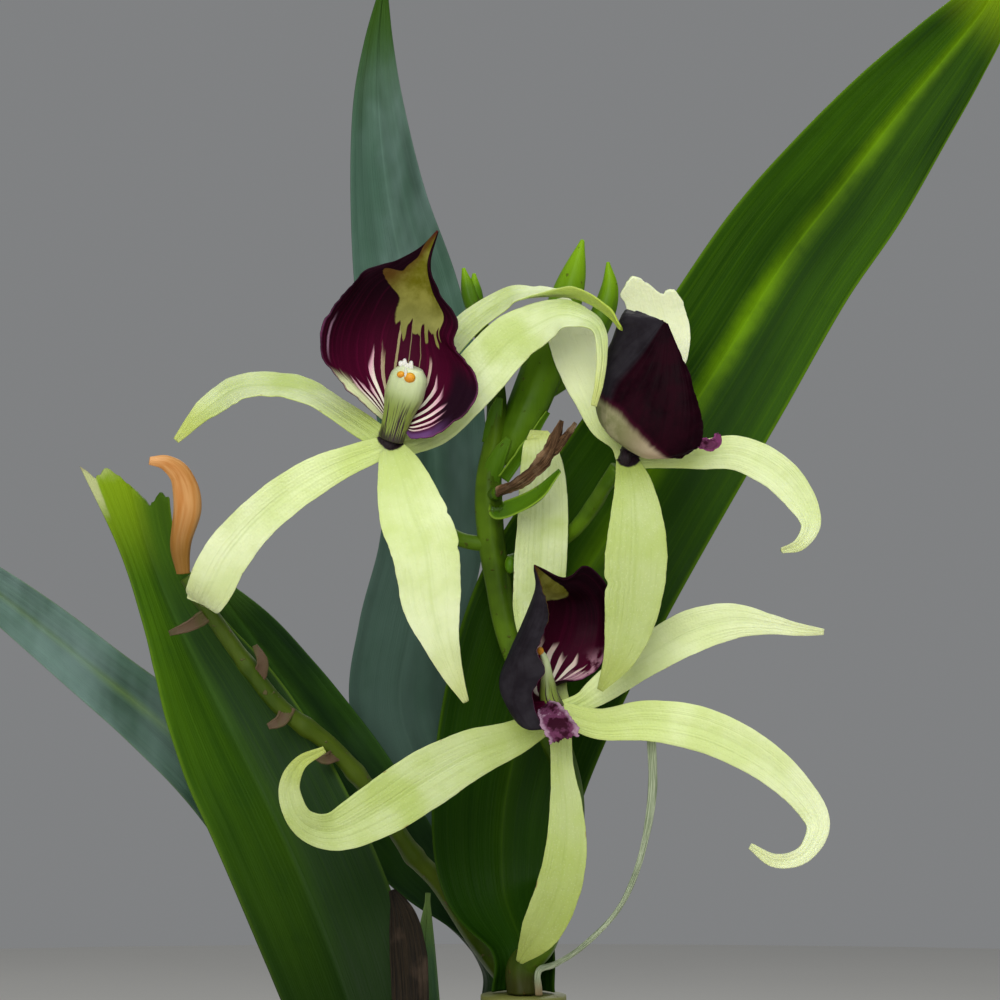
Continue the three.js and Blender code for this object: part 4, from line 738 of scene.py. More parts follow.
def turned(profile, sides, wobble=None, **marks):
    """A body of revolution: rings about the upright axis through profile points [radius, height]."""
    profile = np.asarray(profile, float)
    turn = full_turn(sides)
    radius = np.repeat(profile[:, :1], sides, 1)
    if wobble is not None:
        radius = radius + wobble(profile[:, 1:2], turn[None, :]) * (radius > 1)
    height = np.repeat(profile[:, 1:], sides, 1)
    rings = np.stack([radius * np.cos(turn), radius * np.sin(turn), height], -1)
    return skin(rings, length=np.linspace(0, 1, len(profile))[:, None], breadth=0, back=0, **marks)


def rounded(corners, radius, count=6):
    """A line of corners [a, b], each inner one rounded by a quadratic curve that starts `radius` away."""
    corners = np.asarray(corners, float)
    line = [corners[:1]]
    u = np.linspace(0, 1, count)[:, None]
    for before, corner, after in zip(corners, corners[1:], corners[2:]):
        reach = min(radius, np.linalg.norm(before - corner) / 2.2, np.linalg.norm(after - corner) / 2.2)
        start = corner + unit(before - corner) * reach
        stop = corner + unit(after - corner) * reach
        line.append((1 - u) ** 2 * start + 2 * u * (1 - u) * corner + u**2 * stop)
    return np.vstack([*line, corners[-1:]])


# Pieces
MARKS = ("length", "breadth", "back", "half", "tone", "extra", "fan", "reach")


def make_piece(name, skins, finish, slot, *nodes):
    """One object from several skins, standing for CAD nodes: its points and marks go in as whole arrays."""
    old = bpy.data.objects.get(name)
    if old is not None:
        bpy.data.objects.remove(old)
    start = np.cumsum([0] + [len(points) for points, _, _ in skins])[:-1]
    points = np.vstack([points for points, _, _ in skins]) * MM
    faces = np.vstack([quads + first for (_, quads, _), first in zip(skins, start)]).astype(np.int32)
    mesh = bpy.data.meshes.new(name)
    mesh.vertices.add(len(points))
    mesh.vertices.foreach_set("co", points.astype(np.float32).ravel())
    mesh.loops.add(faces.size)
    mesh.loops.foreach_set("vertex_index", faces.ravel())
    mesh.polygons.add(len(faces))
    mesh.polygons.foreach_set("loop_start", np.arange(0, faces.size, 4, dtype=np.int32))
    mesh.polygons.foreach_set("use_smooth", np.ones(len(faces), bool))
    for mark in MARKS:
        values = [marks.get(mark, np.zeros(len(place))) for place, _, marks in skins]
        layer = mesh.attributes.new(mark, "FLOAT", "POINT")
        layer.data.foreach_set("value", np.concatenate(values).astype(np.float32))
    mesh.update(calc_edges=True)
    if mesh.validate():
        raise RuntimeError(f"{name}: the mesh had broken faces")
    piece = bpy.data.objects.new(name, mesh)
    bpy.context.scene.collection.objects.link(piece)
    mesh.materials.append(finish)
    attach(piece, "root")
    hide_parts(*nodes)
    return piece


# Finishes
def paint(six):
    """A colour as linear light, from its usual six hexadecimal figures."""
    parts = [int(six[i : i + 2], 16) / 255 for i in (0, 2, 4)]
    return tuple(c / 12.92 if c <= 0.04045 else ((c + 0.055) / 1.055) ** 2.4 for c in parts)


def opaque(colour):
    """A colour with full cover added, from three numbers of light or from six hexadecimal figures."""
    return (*(paint(colour) if isinstance(colour, str) else tuple(colour)[:3]), 1.0)


class Finish:
    """A material under construction. Each call adds one node and hands back its output."""

    def __init__(self, name, **sockets):
        self.material = bpy.data.materials.new(name)
        self.material.use_nodes = True
        self.nodes = self.material.node_tree.nodes
        self.links = self.material.node_tree.links
        self.shader = self.nodes["Principled BSDF"]
        for key, value in sockets.items():
            self.shader.inputs[key.replace("_", " ")].default_value = value

    def add(self, kind, out, inputs, **settings):
        node = self.nodes.new("ShaderNode" + kind)
        for key, value in settings.items():
            setattr(node, key, value)
        for key, value in inputs.items():
            if isinstance(value, bpy.types.NodeSocket):
                self.links.new(value, node.inputs[key])
            else:
                node.inputs[key].default_value = value
        return node.outputs[out]

    def mark(self, name):
        """A mark that the mesh carries."""
        return self.add("Attribute", "Fac", {}, attribute_name=name)

    def place(self, x=1.0, y=1.0, z=1.0):
        """The point in metres, stretched along each axis."""
        where = self.add("TexCoord", "Object", {})
        return self.add("Mapping", "Vector", {"Vector": where, "Scale": (x, y, z)})

    def point(self, x, y=0.0, z=0.0):
        return self.add("CombineXYZ", "Vector", {"X": x, "Y": y, "Z": z})

    def calc(self, task, a, b=0.0):
        return self.add("Math", "Value", {0: a, 1: b}, operation=task)

    def times(self, a, b):
        return self.calc("MULTIPLY", a, b)

    def plus(self, a, b):
        return self.calc("ADD", a, b)

    def minus(self, a, b):
        return self.calc("SUBTRACT", a, b)

    def most(self, a, b):
        return self.calc("MAXIMUM", a, b)

    def step(self, x, low, high, start=0.0, stop=1.0):
        """start below low, stop above high, and a smooth passage in between."""
        inputs = {"Value": x, "From Min": low, "From Max": high, "To Min": start, "To Max": stop}
        return self.add("MapRange", "Result", inputs, interpolation_type="SMOOTHSTEP")

    def clouds(self, vector, scale, detail=3.0, rough=0.5, bent=0.0):
        inputs = {"Vector": vector, "Scale": scale, "Detail": detail, "Roughness": rough, "Distortion": bent}
        return self.add("TexNoise", "Fac", inputs)

    def cells(self, vector, scale):
        return self.add("TexVoronoi", "Distance", {"Vector": vector, "Scale": scale})

    def blend(self, share, a, b):
        """Colour a where the share is 0, and b where it is 1."""
        a = a if isinstance(a, bpy.types.NodeSocket) else opaque(a)
        b = b if isinstance(b, bpy.types.NodeSocket) else opaque(b)
        return self.add("Mix", 2, {0: share, 6: a, 7: b}, data_type="RGBA")

    def done(self, colour, rough, height=None, depth=0.1):
        """Links colour and roughness, and a height times depth in millimetres as fine relief."""
        self.links.new(colour, self.shader.inputs["Base Color"])
        if isinstance(rough, bpy.types.NodeSocket):
            self.links.new(rough, self.shader.inputs["Roughness"])
        else:
            self.shader.inputs["Roughness"].default_value = rough
        if height is not None:
            relief = self.add("Bump", "Normal", {"Height": height, "Distance": depth * MM})
            self.links.new(relief, self.shader.inputs["Normal"])
        return self.material


def clay_finish(settings):
    """Terracotta: fired clay in cloudy tones, fine grit, and a chalky bloom of lime round foot and rim."""
    f = Finish("terracotta", Specular_IOR_Level=0.25)
    cloud = f.clouds(f.place(), 28, 5, 0.6)
    streak = f.clouds(f.place(25, 25, 90), 1, 3)
    grit = f.clouds(f.place(), 900, 4, 0.7)
    height = f.add("SeparateXYZ", "Z", {"Vector": f.place()})
    tone = f.blend(f.step(cloud, 0.35, 0.7), settings.clay, "96502c")
    tone = f.blend(f.step(streak, 0.45, 0.75, 0, 0.35), tone, "d08a5c")
    low = f.step(f.plus(height, f.times(cloud, 0.03)), 0.012, 0.045, 1, 0)
    high = f.step(f.plus(height, f.times(streak, 0.01)), 0.1, 0.122)
    lime = f.times(f.most(low, f.times(high, 0.7)), f.step(f.clouds(f.place(), 120, 5, 0.7), 0.38, 0.62))
    tone = f.blend(f.times(lime, 0.62), tone, "e2d3bf")
    tone = f.blend(f.step(grit, 0.3, 0.42, 0.5, 0), tone, "6e3a20")
    return f.done(tone, f.step(cloud, 0.3, 0.8, 0.78, 0.95), f.plus(grit, f.times(streak, 1.5)), 0.25)


def bark_finish(settings):
    """Fir bark: chips from red-brown to near black, with fibres along them, a grey weathered skin, and
    painted shade in the seams between them.
    """
    f = Finish("bark", Specular_IOR_Level=0.2)
    tone_mark = f.mark("tone")
    fibre = f.clouds(f.place(160, 900, 420), 1, 4, 0.6, 0.6)
    patch = f.clouds(f.place(), 160, 4, 0.6)
    tone = f.blend(tone_mark, "2c1a10", settings.bark)
    tone = f.blend(f.step(fibre, 0.42, 0.7), tone, "9a6a42")
    tone = f.blend(f.step(patch, 0.55, 0.75, 0, 0.6), tone, "8d8070")
    # Painted shade: the seams between chips, carried by the extra mark, are darkened almost to black.
    tone = f.blend(f.step(f.mark("extra"), 0, 1, 0, 0.85), tone, "140c08")
    return f.done(tone, f.step(patch, 0.3, 0.8, 0.95, 0.8), f.plus(fibre, f.times(patch, 0.8)), 0.9)


def root_finish():
    """Rhizome and roots: silvery spongy skin with brown scale rings, and green growing tips."""
    f = Finish("root skin", Specular_IOR_Level=0.3)
    length, kind = f.mark("length"), f.mark("tone")
    web = f.clouds(f.place(), 500, 4, 0.7)
    spot = f.clouds(f.place(), 90, 3)
    rings = f.calc("SINE", f.times(length, 130))
    woody = f.blend(f.step(web, 0.3, 0.7), "6a5a34", "94844e")
    woody = f.blend(f.step(rings, 0.55, 0.95, 0, 0.7), woody, "4a3018")
    silver = f.blend(f.step(web, 0.35, 0.65), "8f937a", "c3c6b2")
    silver = f.blend(f.step(spot, 0.52, 0.7, 0, 0.7), silver, "6f6244")
    tip = f.times(f.step(length, 0.86, 0.98), 0.8)
    silver = f.blend(tip, silver, "86a23e")
    return f.done(f.blend(kind, woody, silver), 0.75, f.plus(web, f.times(rings, 0.2)), 0.3)


def bulb_finish(settings):
    """Pseudobulb: green, yellower on the ribs, with fine grooves, corky freckles and a brown foot."""
    f = Finish("pseudobulb skin", Specular_IOR_Level=0.4, Coat_Weight=0.08, Coat_Roughness=0.4)
    length = f.mark("length")
    ribs = f.mark("extra")
    lines = f.clouds(f.place(420, 420, 22), 1, 3, 0.6)
    cloud = f.clouds(f.place(), 70, 4)
    tone = f.blend(f.step(ribs, -0.4, 1), settings.bulb, "8ba04a")
    tone = f.blend(f.step(lines, 0.35, 0.75, 0, 0.55), tone, "4a6424")
    tone = f.blend(f.step(cloud, 0.5, 0.75, 0, 0.5), tone, "a7a652")
    corky = f.step(f.clouds(f.place(), 700, 2), 0.66, 0.74)
    tone = f.blend(f.times(corky, 0.6), tone, "6d5230")
    foot = f.plus(f.step(length, 0.02, 0.16, 1, 0), f.step(length, 0.93, 1, 0, 0.7))
    tone = f.blend(f.times(foot, 0.75), tone, "75603a")
    return f.done(tone, f.step(lines, 0.3, 0.8, 0.4, 0.6), f.plus(lines, f.times(corky, 0.5)), 0.35)


def paper_finish():
    """Dry papery sheath: pale straw with long fibres and brown stains."""
    f = Finish("papery sheath", Specular_IOR_Level=0.3)
    fibre = f.clouds(f.place(700, 700, 30), 1, 4, 0.65)
    stain = f.clouds(f.place(), 110, 4)
    tone = f.blend(f.step(fibre, 0.35, 0.7), "8f7a54", "cdbf9a")
    tone = f.blend(f.step(stain, 0.5, 0.7, 0, 0.8), tone, "6b4a2c")
    return f.done(tone, 0.7, fibre, 0.4)


def leaf_finish(name, green, deep, rib, wax, tip, tip_from=0.86):
    """A strap leaf: faint long veins, a wide, cloudy, pale streak along the midrib, wax, a lighter tip, and
    painted shade toward its foot.
    """
    f = Finish(name, Specular_IOR_Level=0.05)
    length, breadth, back = f.mark("length"), f.mark("breadth"), f.mark("back")
    side = f.calc("ABSOLUTE", breadth)
    lines = f.clouds(f.point(f.times(length, 3), f.times(breadth, 34), f.times(back, 9)), 1, 3, 0.6)
    broad = f.clouds(f.point(f.times(length, 3.5), f.times(breadth, 1.8), f.times(back, 4)), 1, 2)
    mottle = f.clouds(f.place(), 260, 4, 0.6)
    cloud = f.clouds(f.place(), 30, 3)
    tone = f.blend(f.step(broad, 0.3, 0.7), deep, green)
    tone = f.blend(f.step(lines, 0.42, 0.75, 0, 0.1), tone, rib)
    midrib = f.step(f.plus(side, f.times(mottle, 0.1)), 0.02, 0.3, 1, 0)
    glow = f.times(midrib, f.step(cloud, 0.3, 0.6, 0.28, 0.82))
    tone = f.blend(f.times(glow, f.step(length, 0.25, 0.6, 0.35, 1)), tone, rib)
    tone = f.blend(f.step(side, 0.0, 0.03, 0.3, 0), tone, rib)
    tone = f.blend(f.step(side, 0.95, 1.0, 0, 0.4), tone, rib)
    tone = f.blend(f.step(mottle, 0.5, 0.8, 0, 0.25), tone, deep)
    # Painted shade: darker toward the foot, which lies in shade.
    tone = f.blend(f.step(length, 0.1, 0.55, 0.85, 0), tone, deep)
    tone = f.blend(f.times(f.step(length, tip_from, 1.0), f.step(lines, 0.2, 0.7, 0.7, 1)), tone, tip)
    bloom = f.step(f.clouds(f.place(45, 45, 22), 1, 4, 0.6), 0.38, 0.66, 0.1, 1)
    bloom = f.times(bloom, f.times(f.step(length, 0.35, 0.75, 0.3, 1), f.step(length, 0.82, 0.96, 1, 0.05)))
    tone = f.blend(f.times(bloom, wax), tone, "86a09c")
    tone = f.blend(f.times(back, 0.06), tone, "56703f")
    return f.done(tone, f.step(lines, 0.3, 0.8, 0.4, 0.55), f.plus(lines, f.times(mottle, 0.3)), 0.1)


def torn_leaf_finish():
    """The torn leaf: yellow-green at its left and above, dark and bluish at its right by painted shadow,
    darker toward its foot by painted shade, its tip frayed.
    """
    f = Finish("torn leaf", Specular_IOR_Level=0.05)
    length, breadth, back = f.mark("length"), f.mark("breadth"), f.mark("back")
    side = f.calc("ABSOLUTE", breadth)
    lines = f.clouds(f.point(f.times(length, 3), f.times(breadth, 34), f.times(back, 9)), 1, 3, 0.6)
    broad = f.clouds(f.point(f.times(length, 3), f.times(breadth, 2), 3.3), 1, 2)
    mottle = f.clouds(f.place(), 240, 4, 0.6)
    band = f.clouds(f.place(), 40, 3)
    tone = f.blend(f.step(broad, 0.3, 0.7), "2c4c0c", "42660e")
    # Painted shadow: the right half of the leaf is darkened and made bluish.
    right_shadow = f.step(f.plus(breadth, f.times(band, 0.5)), 0.1, 0.55)
    shade = f.times(right_shadow, f.step(length, 0.75, 0.93, 1, 0.25))
    tone = f.blend(f.times(shade, 0.85), tone, "1a3218")
    tone = f.blend(f.times(f.step(side, 0.0, 0.22, 0.8, 0), f.step(band, 0.35, 0.6)), tone, "38581e")
    tone = f.blend(f.step(lines, 0.42, 0.75, 0, 0.2), tone, "52761a")
    tone = f.blend(f.step(side, 0.94, 1.0, 0, 0.45), tone, "6a8c1e")
    tone = f.blend(f.step(mottle, 0.5, 0.8, 0, 0.25), tone, "23461a")
    # Painted shade: darker toward the foot.
    tone = f.blend(f.step(length, 0.2, 0.7, 0.95, 0), tone, "15290a")
    top = f.times(f.step(length, 0.86, 1.0), f.step(breadth, -0.1, 0.5, 1, 0.1))
    tone = f.blend(f.times(top, f.step(band, 0.3, 0.6, 0.4, 1)), tone, "7d9a14")
    left = f.step(breadth, -0.86, -0.74, 1, 0)
    torn = f.plus(f.plus(length, f.times(left, 0.035)), f.times(f.clouds(f.place(), 420, 4, 0.7), 0.02))
    tone = f.blend(f.step(torn, 0.985, 1.015, 0, 0.85), tone, "b9bd8a")
    tone = f.blend(f.times(f.step(torn, 1.03, 1.045, 0, 0.8), left), tone, "8a7a62")
    tone = f.blend(f.times(back, 0.06), tone, "56703f")
    return f.done(tone, f.step(lines, 0.3, 0.8, 0.4, 0.55), f.plus(lines, f.times(mottle, 0.3)), 0.1)


# Tepals are marked by their number over TEPALS; FOLDED is the left bloom's sepal that shows its edge.
TEPALS = 15
FOLDED = 4 / TEPALS


def tepal_finish(settings):
    """Petals and sepals: pale yellow-green with long veins, fine cells with painted glints, brown margin
    specks.

    They are greener toward the hub, yellower behind and at the tips, and stained dark where the lip sits.
    Some carry painted light, paler and lighter, and some carry painted shade, duller toward their tips.
    """
    f = Finish(
        "tepal", Specular_IOR_Level=0.3, Sheen_Weight=0.05, Sheen_Roughness=0.4,
        Subsurface_Weight=0.18, Subsurface_Radius=(1.0, 0.9, 0.3), Subsurface_Scale=0.0012,
    )
    length, breadth, back = f.mark("length"), f.mark("breadth"), f.mark("back")
    tone_mark, stain = f.mark("tone"), f.mark("extra")
    side = f.calc("ABSOLUTE", breadth)
    stretched = f.point(f.times(length, 2.2), f.times(breadth, 11), f.times(tone_mark, 40))
    lines = f.clouds(stretched, 1, 2.5, 0.55)
    cloud = f.clouds(f.place(), 130, 3)
    sparkle = f.cells(f.place(), 2300)
    tone = f.blend(f.step(cloud, 0.3, 0.7), settings.tepal, settings.tepal_light)
    tone = f.blend(f.step(lines, 0.5, 0.78, 0, 0.28), tone, settings.tepal_vein)
    tone = f.blend(f.step(side, 0.0, 0.1, 0.3, 0), tone, settings.tepal_vein)
    tone = f.blend(f.step(length, 0.0, 0.3, 0.7, 0), tone, settings.tepal_base)
    # On tepals the fan mark carries painted light and the reach mark carries painted shade.
    painted_light, painted_shade = f.mark("fan"), f.mark("reach")
    tip = f.times(f.step(length, 0.7, 1.0, 0, 0.6), f.minus(1.0, painted_light))
    tone = f.blend(tip, tone, "c2c850")
    # Painted shade: chosen tepals are made duller toward their tips, where the light falls off.
    outward = f.step(f.plus(length, f.times(cloud, 0.4)), 0.2, 0.9, 0.5, 1)
    tone = f.blend(f.times(painted_shade, outward), tone, "94a44a")
    # Painted light: chosen tepals are made paler and lighter, most toward their tips.
    tone = f.blend(f.times(painted_light, 0.8), tone, f.blend(f.step(length, 0.1, 0.7), "dcec96", "f6fbd4"))
    folded = f.step(f.calc("ABSOLUTE", f.minus(tone_mark, FOLDED)), 0.004, 0.008, 1, 0)
    tone = f.blend(f.times(folded, f.step(length, 0.5, 0.95, 0, 0.9)), tone, "9fb41c")
    tone = f.blend(f.times(back, 0.6), tone, settings.tepal_base)
    # Painted glints: a pale spot at the middle of each cell.
    tone = f.blend(f.step(sparkle, 0.0, 0.34, 0.14, 0), tone, "f2f6d4")
    edge = f.step(side, 0.94, 1.0)
    freckle = f.step(f.clouds(f.place(), 420, 2), 0.64, 0.72)
    tone = f.blend(f.times(f.times(edge, freckle), 0.7), tone, "7a5428")
    ragged = f.plus(stain, f.times(f.minus(f.clouds(f.place(), 900, 3), 0.5), 0.5))
    tone = f.blend(f.step(ragged, 0.3, 0.62), tone, "1c0a14")
    relief = f.plus(f.times(sparkle, 0.4), f.times(lines, 1.3))
    return f.done(tone, f.step(sparkle, 0, 0.5, 0.4, 0.52), relief, 0.11)


def lip_finish(name, settings, bloom):
    """A lip: near-black maroon inside, with cream rays from its base and a faint violet margin.

    `fan` runs across and `reach` is the distance from the base, so rays are stripes of fan that stop at a
    ragged reach. `extra` is the olive patch at the tip, and `tone` marks the lilac tongue. Outside, the lip
    is maroon, with a painted charcoal sheen to one side of its keel, and a cream-green base.
    """
    f = Finish(name, Specular_IOR_Level=0.025)
    length, back, fan, reach = f.mark("length"), f.mark("back"), f.mark("fan"), f.mark("reach")
    side = f.calc("ABSOLUTE", fan)
    grain = f.clouds(f.place(), 300, 4, 0.6)
    veins = f.clouds(f.point(f.times(fan, 24), f.times(reach, 1.4), 1.7), 1, 2, 0.5)
    heart = (0.42, 0.9) if bloom == "low" else (0.3, 0.72)
    inner = f.blend(f.step(reach, *heart), settings.lip_heart, settings.lip)
    inner = f.blend(f.times(f.step(veins, 0.5, 0.75), f.step(reach, 0.3, 0.8, 0.5, 0.12)), inner, "5c0c30")
    lobe = f.times(f.step(fan, 0.42, 0.6), f.times(f.step(reach, 0.2, 0.28), f.step(length, 0.36, 0.5, 1, 0)))
    violet = f.times(f.step(fan, 0.72, 0.92), f.step(length, 0.16, 0.28, 1, 0))
    lobe_tone = f.blend(violet, "200d19", "654070")
    inner = f.blend(f.most(lobe, violet) if bloom == "left" else 0.0, inner, lobe_tone)
    count, limit, corner_share, pale_base = RAYS[bloom]
    wave = f.calc("SINE", f.plus(f.times(fan, count), f.times(grain, 1.4)))
    ragged = f.clouds(f.point(f.times(fan, 6.3), f.times(reach, 1.5), 4.0), 1, 1)
    stop = f.plus(reach, f.plus(f.times(side, 0.24), f.times(f.minus(ragged, 0.5), 0.4)))
    open_side = f.step(fan, 0.76, 0.84, 1, 0) if bloom == "left" else f.step(fan, -0.1, 0.1)
    middle = f.step(side, 0.17, 0.32, 1, 0) if bloom == "left" else 0.0
    wide = f.step(fan, -0.2, 0.0, -0.2, 0.12) if bloom == "left" else 0.12
    low, high = f.plus(wide, f.times(middle, 0.8)), f.plus(f.plus(wide, 0.28), f.times(middle, 0.65))
    stop = f.minus(stop, f.times(f.step(side, 0.1, 0.16, 1, 0), 0.2 if bloom == "left" else 0.0))
    rays = f.step(wave, low, high)
    rays = f.times(f.times(rays, f.step(stop, limit - 0.03, limit + 0.02, 1, 0)), open_side)
    cream = f.blend(f.step(stop, limit - 0.14, limit), "efe8d6", "dcc2b8" if bloom == "low" else "d8a3b4")
    cream = f.blend(middle, cream, "9c9268")
    inner = f.blend(rays, inner, cream)
    corner = f.step(fan, -0.78, -0.6, 1, 0)
    corner = f.times(corner, f.step(f.plus(length, f.times(veins, 0.1)), 0.26, 0.34, 1, 0))
    inner = f.blend(f.times(f.times(corner, f.step(grain, 0.36, 0.42)), corner_share), inner, "d3d9a6")
    marble = f.step(fan, 0.45, 0.75)
    marble = f.times(marble, f.times(f.step(length, 0.3, 0.45, 1, 0), f.step(grain, 0.42, 0.55)))
    inner = f.blend(f.times(marble, 0.8 if bloom == "low" else 0.0), inner, "c996a8")
    rim = f.times(f.step(side, 0.965, 1.0), f.step(length, 0.4, 0.62, 0.85, 0.12))
    inner = f.blend(f.times(rim, f.step(grain, 0.35, 0.6, 0.3, 1)), inner, settings.lip_rim)
    # Painted highlight: a pale streak along a fold near the lip's margin.
    crease_highlight = f.step(f.calc("ABSOLUTE", f.plus(fan, 0.86)), 0.0, 0.035, 1, 0)
    crease_highlight = f.times(crease_highlight, f.step(length, 0.3, 0.4))
    crease_highlight = f.times(f.times(crease_highlight, f.step(length, 0.46, 0.54, 0.45, 0)), corner_share)
    inner = f.blend(crease_highlight, inner, "c49ab4")
    olive = f.blend(f.step(grain, 0.35, 0.7), "5f5c10", "85823a")
    olive = f.blend(f.step(length, 0.6, 0.8, 0.5, 0), olive, "94955a")
    olive = f.blend(f.step(fan, -0.6, -0.1, 0.85, 0), olive, "4a2a12")
    olive = f.blend(f.step(f.plus(length, f.times(grain, 0.1)), 0.98, 1.05), olive, "4a1c18")
    mottled = f.plus(f.mark("extra"), f.times(f.minus(grain, 0.5), 0.8))
    inner = f.blend(f.step(mottled, 0.36, 0.6), inner, olive)
    lilac = f.blend(f.step(grain, 0.44, 0.52), "32101f", "643450")
    edge = f.times(f.step(f.plus(side, f.times(grain, 0.5)), 0.95, 1.2), 0.8)
    # The tongue is paler in flecks and along its margin.
    pale_flecks = f.most(f.step(grain, 0.55, 0.62, 0, 0.75), edge)
    lilac = f.blend(pale_flecks, lilac, "84406e" if bloom == "right" else "ac8ca0")
    inner = f.blend(f.mark("tone"), inner, lilac)
    # Painted sheen: a lighter charcoal on one side of the keel outside, where light catches the curving lip.
    painted_sheen = f.blend(f.step(grain, 0.3, 0.75), "1d191e", "2c292e")
    outer = f.blend(f.step(grain, 0.3, 0.75), "120208", "220510")
    outer = f.blend(f.step(fan, *((0.1, 0.24) if bloom == "right" else (0.3, -0.2))), outer, painted_sheen)
    outer = f.blend(f.step(veins, 0.5, 0.8, 0, 0.4), outer, "0d0408")
    slope = f.times(f.calc("MINIMUM", fan, 0.0), 0.2)
    pale_to = f.plus(pale_base, f.plus(slope, f.times(f.minus(veins, 0.5), 0.03)))
    beyond = f.minus(length, pale_to)
    pale = f.blend(f.step(fan, -0.7, 0.1), "b09a84", "6f7248")
    pale = f.blend(f.step(grain, 0.4, 0.65, 0, 0.35), pale, "b7ac8e")
    outer = f.blend(f.step(beyond, 0.0, 0.045, 0.7, 0), outer, "3c0e20")
    outer = f.blend(f.step(beyond, -0.04, 0.015, 1, 0), outer, pale)
    outer = f.blend(f.mark("tone"), outer, "7d2f6c")
    tone = f.blend(f.step(back, 0.45, 0.55), inner, outer)
    return f.done(tone, f.step(grain, 0.3, 0.8, 0.42, 0.6), f.plus(grain, f.times(veins, 0.5)), 0.12)


def column_finish():
    """The column: pale green going to cream, purple streaks at its foot; caps and teeth by their tone."""
    f = Finish(
        "column", Specular_IOR_Level=0.45, Coat_Weight=0.1, Coat_Roughness=0.3,
        Subsurface_Weight=0.2, Subsurface_Radius=(1.0, 1.0, 0.5), Subsurface_Scale=0.001,
    )
    length, breadth, back, kind = f.mark("length"), f.mark("breadth"), f.mark("back"), f.mark("tone")
    streak = f.clouds(f.point(f.times(length, 2), f.times(breadth, 8), f.times(back, 8)), 1, 3)
    tone = f.blend(f.step(length, 0.25, 0.7), "81923c", "c6d2a0")
    tone = f.blend(f.step(length, 0.8, 1.0, 0, 0.6), tone, "dde3c0")
    tone = f.blend(f.times(f.step(streak, 0.52, 0.6), f.step(length, 0.2, 0.5, 1, 0)), tone, "2a0c1c")
    tone = f.blend(f.step(f.plus(length, f.times(streak, 0.45)), 0.24, 0.32, 0.95, 0), tone, "1c0a12")
    cap = f.blend(f.step(length, 0.3, 0.8), "d98a06", "e8a412")
    tone = f.blend(f.step(kind, 0.35, 0.45), tone, cap)
    tone = f.blend(f.step(kind, 0.85, 0.95), tone, "f0eee0")
    return f.done(tone, 0.4, streak, 0.08)


def stem_finish(name, green, light, brown):
    """A stem with buds and bracts: green with pale lengthwise streaks, freckles, yellower where tone is 1."""
    f = Finish(name, Specular_IOR_Level=0.15)
    length, breadth, kind = f.mark("length"), f.mark("breadth"), f.mark("tone")
    streak = f.clouds(f.place(500, 500, 60), 1, 3, 0.6)
    cloud = f.clouds(f.place(), 90, 3)
    tone = f.blend(f.step(cloud, 0.35, 0.7), green, light)
    tone = f.blend(f.step(streak, 0.5, 0.75, 0, 0.4), tone, light)
    tone = f.blend(f.times(kind, 0.8), tone, "4c780a")
    bud = f.times(f.step(kind, 0.38, 0.42), f.step(kind, 0.76, 0.78, 1, 0))
    tone = f.blend(f.times(bud, f.step(length, 0.55, 1.0, 0, 0.8)), tone, "84b010")
    side = f.calc("ABSOLUTE", breadth)
    tone = f.blend(f.times(f.step(kind, 0.77, 0.79), f.step(side, 0.82, 1.0, 0, 0.6)), tone, "8fae34")
    tone = f.blend(f.times(f.step(kind, 0.05, 0.1, 1, 0), f.step(length, 0.02, 0.14, 0.9, 0)), tone, "2e2c0e")
    freckle = f.step(f.clouds(f.place(), 800, 2), 0.66, 0.72)
    tone = f.blend(f.times(freckle, 0.6), tone, brown)
    tone = f.blend(f.times(f.mark("extra"), f.step(streak, 0.3, 0.6, 0.6, 1)), tone, brown)
    return f.done(tone, f.step(cloud, 0.3, 0.7, 0.4, 0.55), f.plus(streak, f.times(freckle, 0.6)), 0.15)


def dry_finish(name, dark, mid, light):
    """Shrivelled tissue: dark fibres with lighter clouds and pale ridges."""
    f = Finish(name, Specular_IOR_Level=0.2)
    length, breadth = f.mark("length"), f.mark("breadth")
    fibre = f.clouds(f.point(f.times(length, 4), f.times(breadth, 10), f.mark("back")), 1, 4, 0.65)
    cloud = f.clouds(f.place(), 240, 3)
    tone = f.blend(f.step(fibre, 0.35, 0.65), dark, mid)
    tone = f.blend(f.step(cloud, 0.5, 0.72, 0, 0.7), tone, light)
    tone = f.blend(f.step(fibre, 0.62, 0.75, 0, 0.4), tone, light)
    tone = f.blend(f.times(f.mark("tone"), 0.8), tone, "7a8a34")
    return f.done(tone, 0.8, fibre, 0.5)


def orange_finish():
    """The withered bud: pale orange to brownish pink, wrinkled lengthwise, browner at its foot."""
    f = Finish("withered orange", Specular_IOR_Level=0.35, Coat_Weight=0.05)
    length, breadth = f.mark("length"), f.mark("breadth")
    fold = f.clouds(f.point(f.times(length, 3), f.times(breadth, 3), f.mark("back")), 1, 2, 0.5)
    tone = f.blend(f.step(fold, 0.3, 0.7), "bf7a34", "d39a5c")
    tone = f.blend(f.step(length, 0.12, 0.48, 0.9, 0), tone, "7d5612")
    tone = f.blend(f.step(length, 0.8, 1.0, 0, 0.6), tone, "e0a468")
    return f.done(tone, 0.5, fold, 0.15)


def strand_finish():
    """A loose strand of sheath: grey-green with lighter fibres, browner at its foot."""
    f = Finish("strand", Specular_IOR_Level=0.3)
    fibre = f.clouds(f.point(f.times(f.mark("length"), 12), f.times(f.mark("breadth"), 4), 0.0), 1, 4, 0.6)
    tone = f.blend(f.step(fibre, 0.35, 0.65), "7d8c6c", "b9c4a4")
    tone = f.blend(f.step(f.mark("length"), 0.0, 0.1, 0.8, 0), tone, "8a6a48")
    return f.done(tone, 0.6, fibre, 0.3)


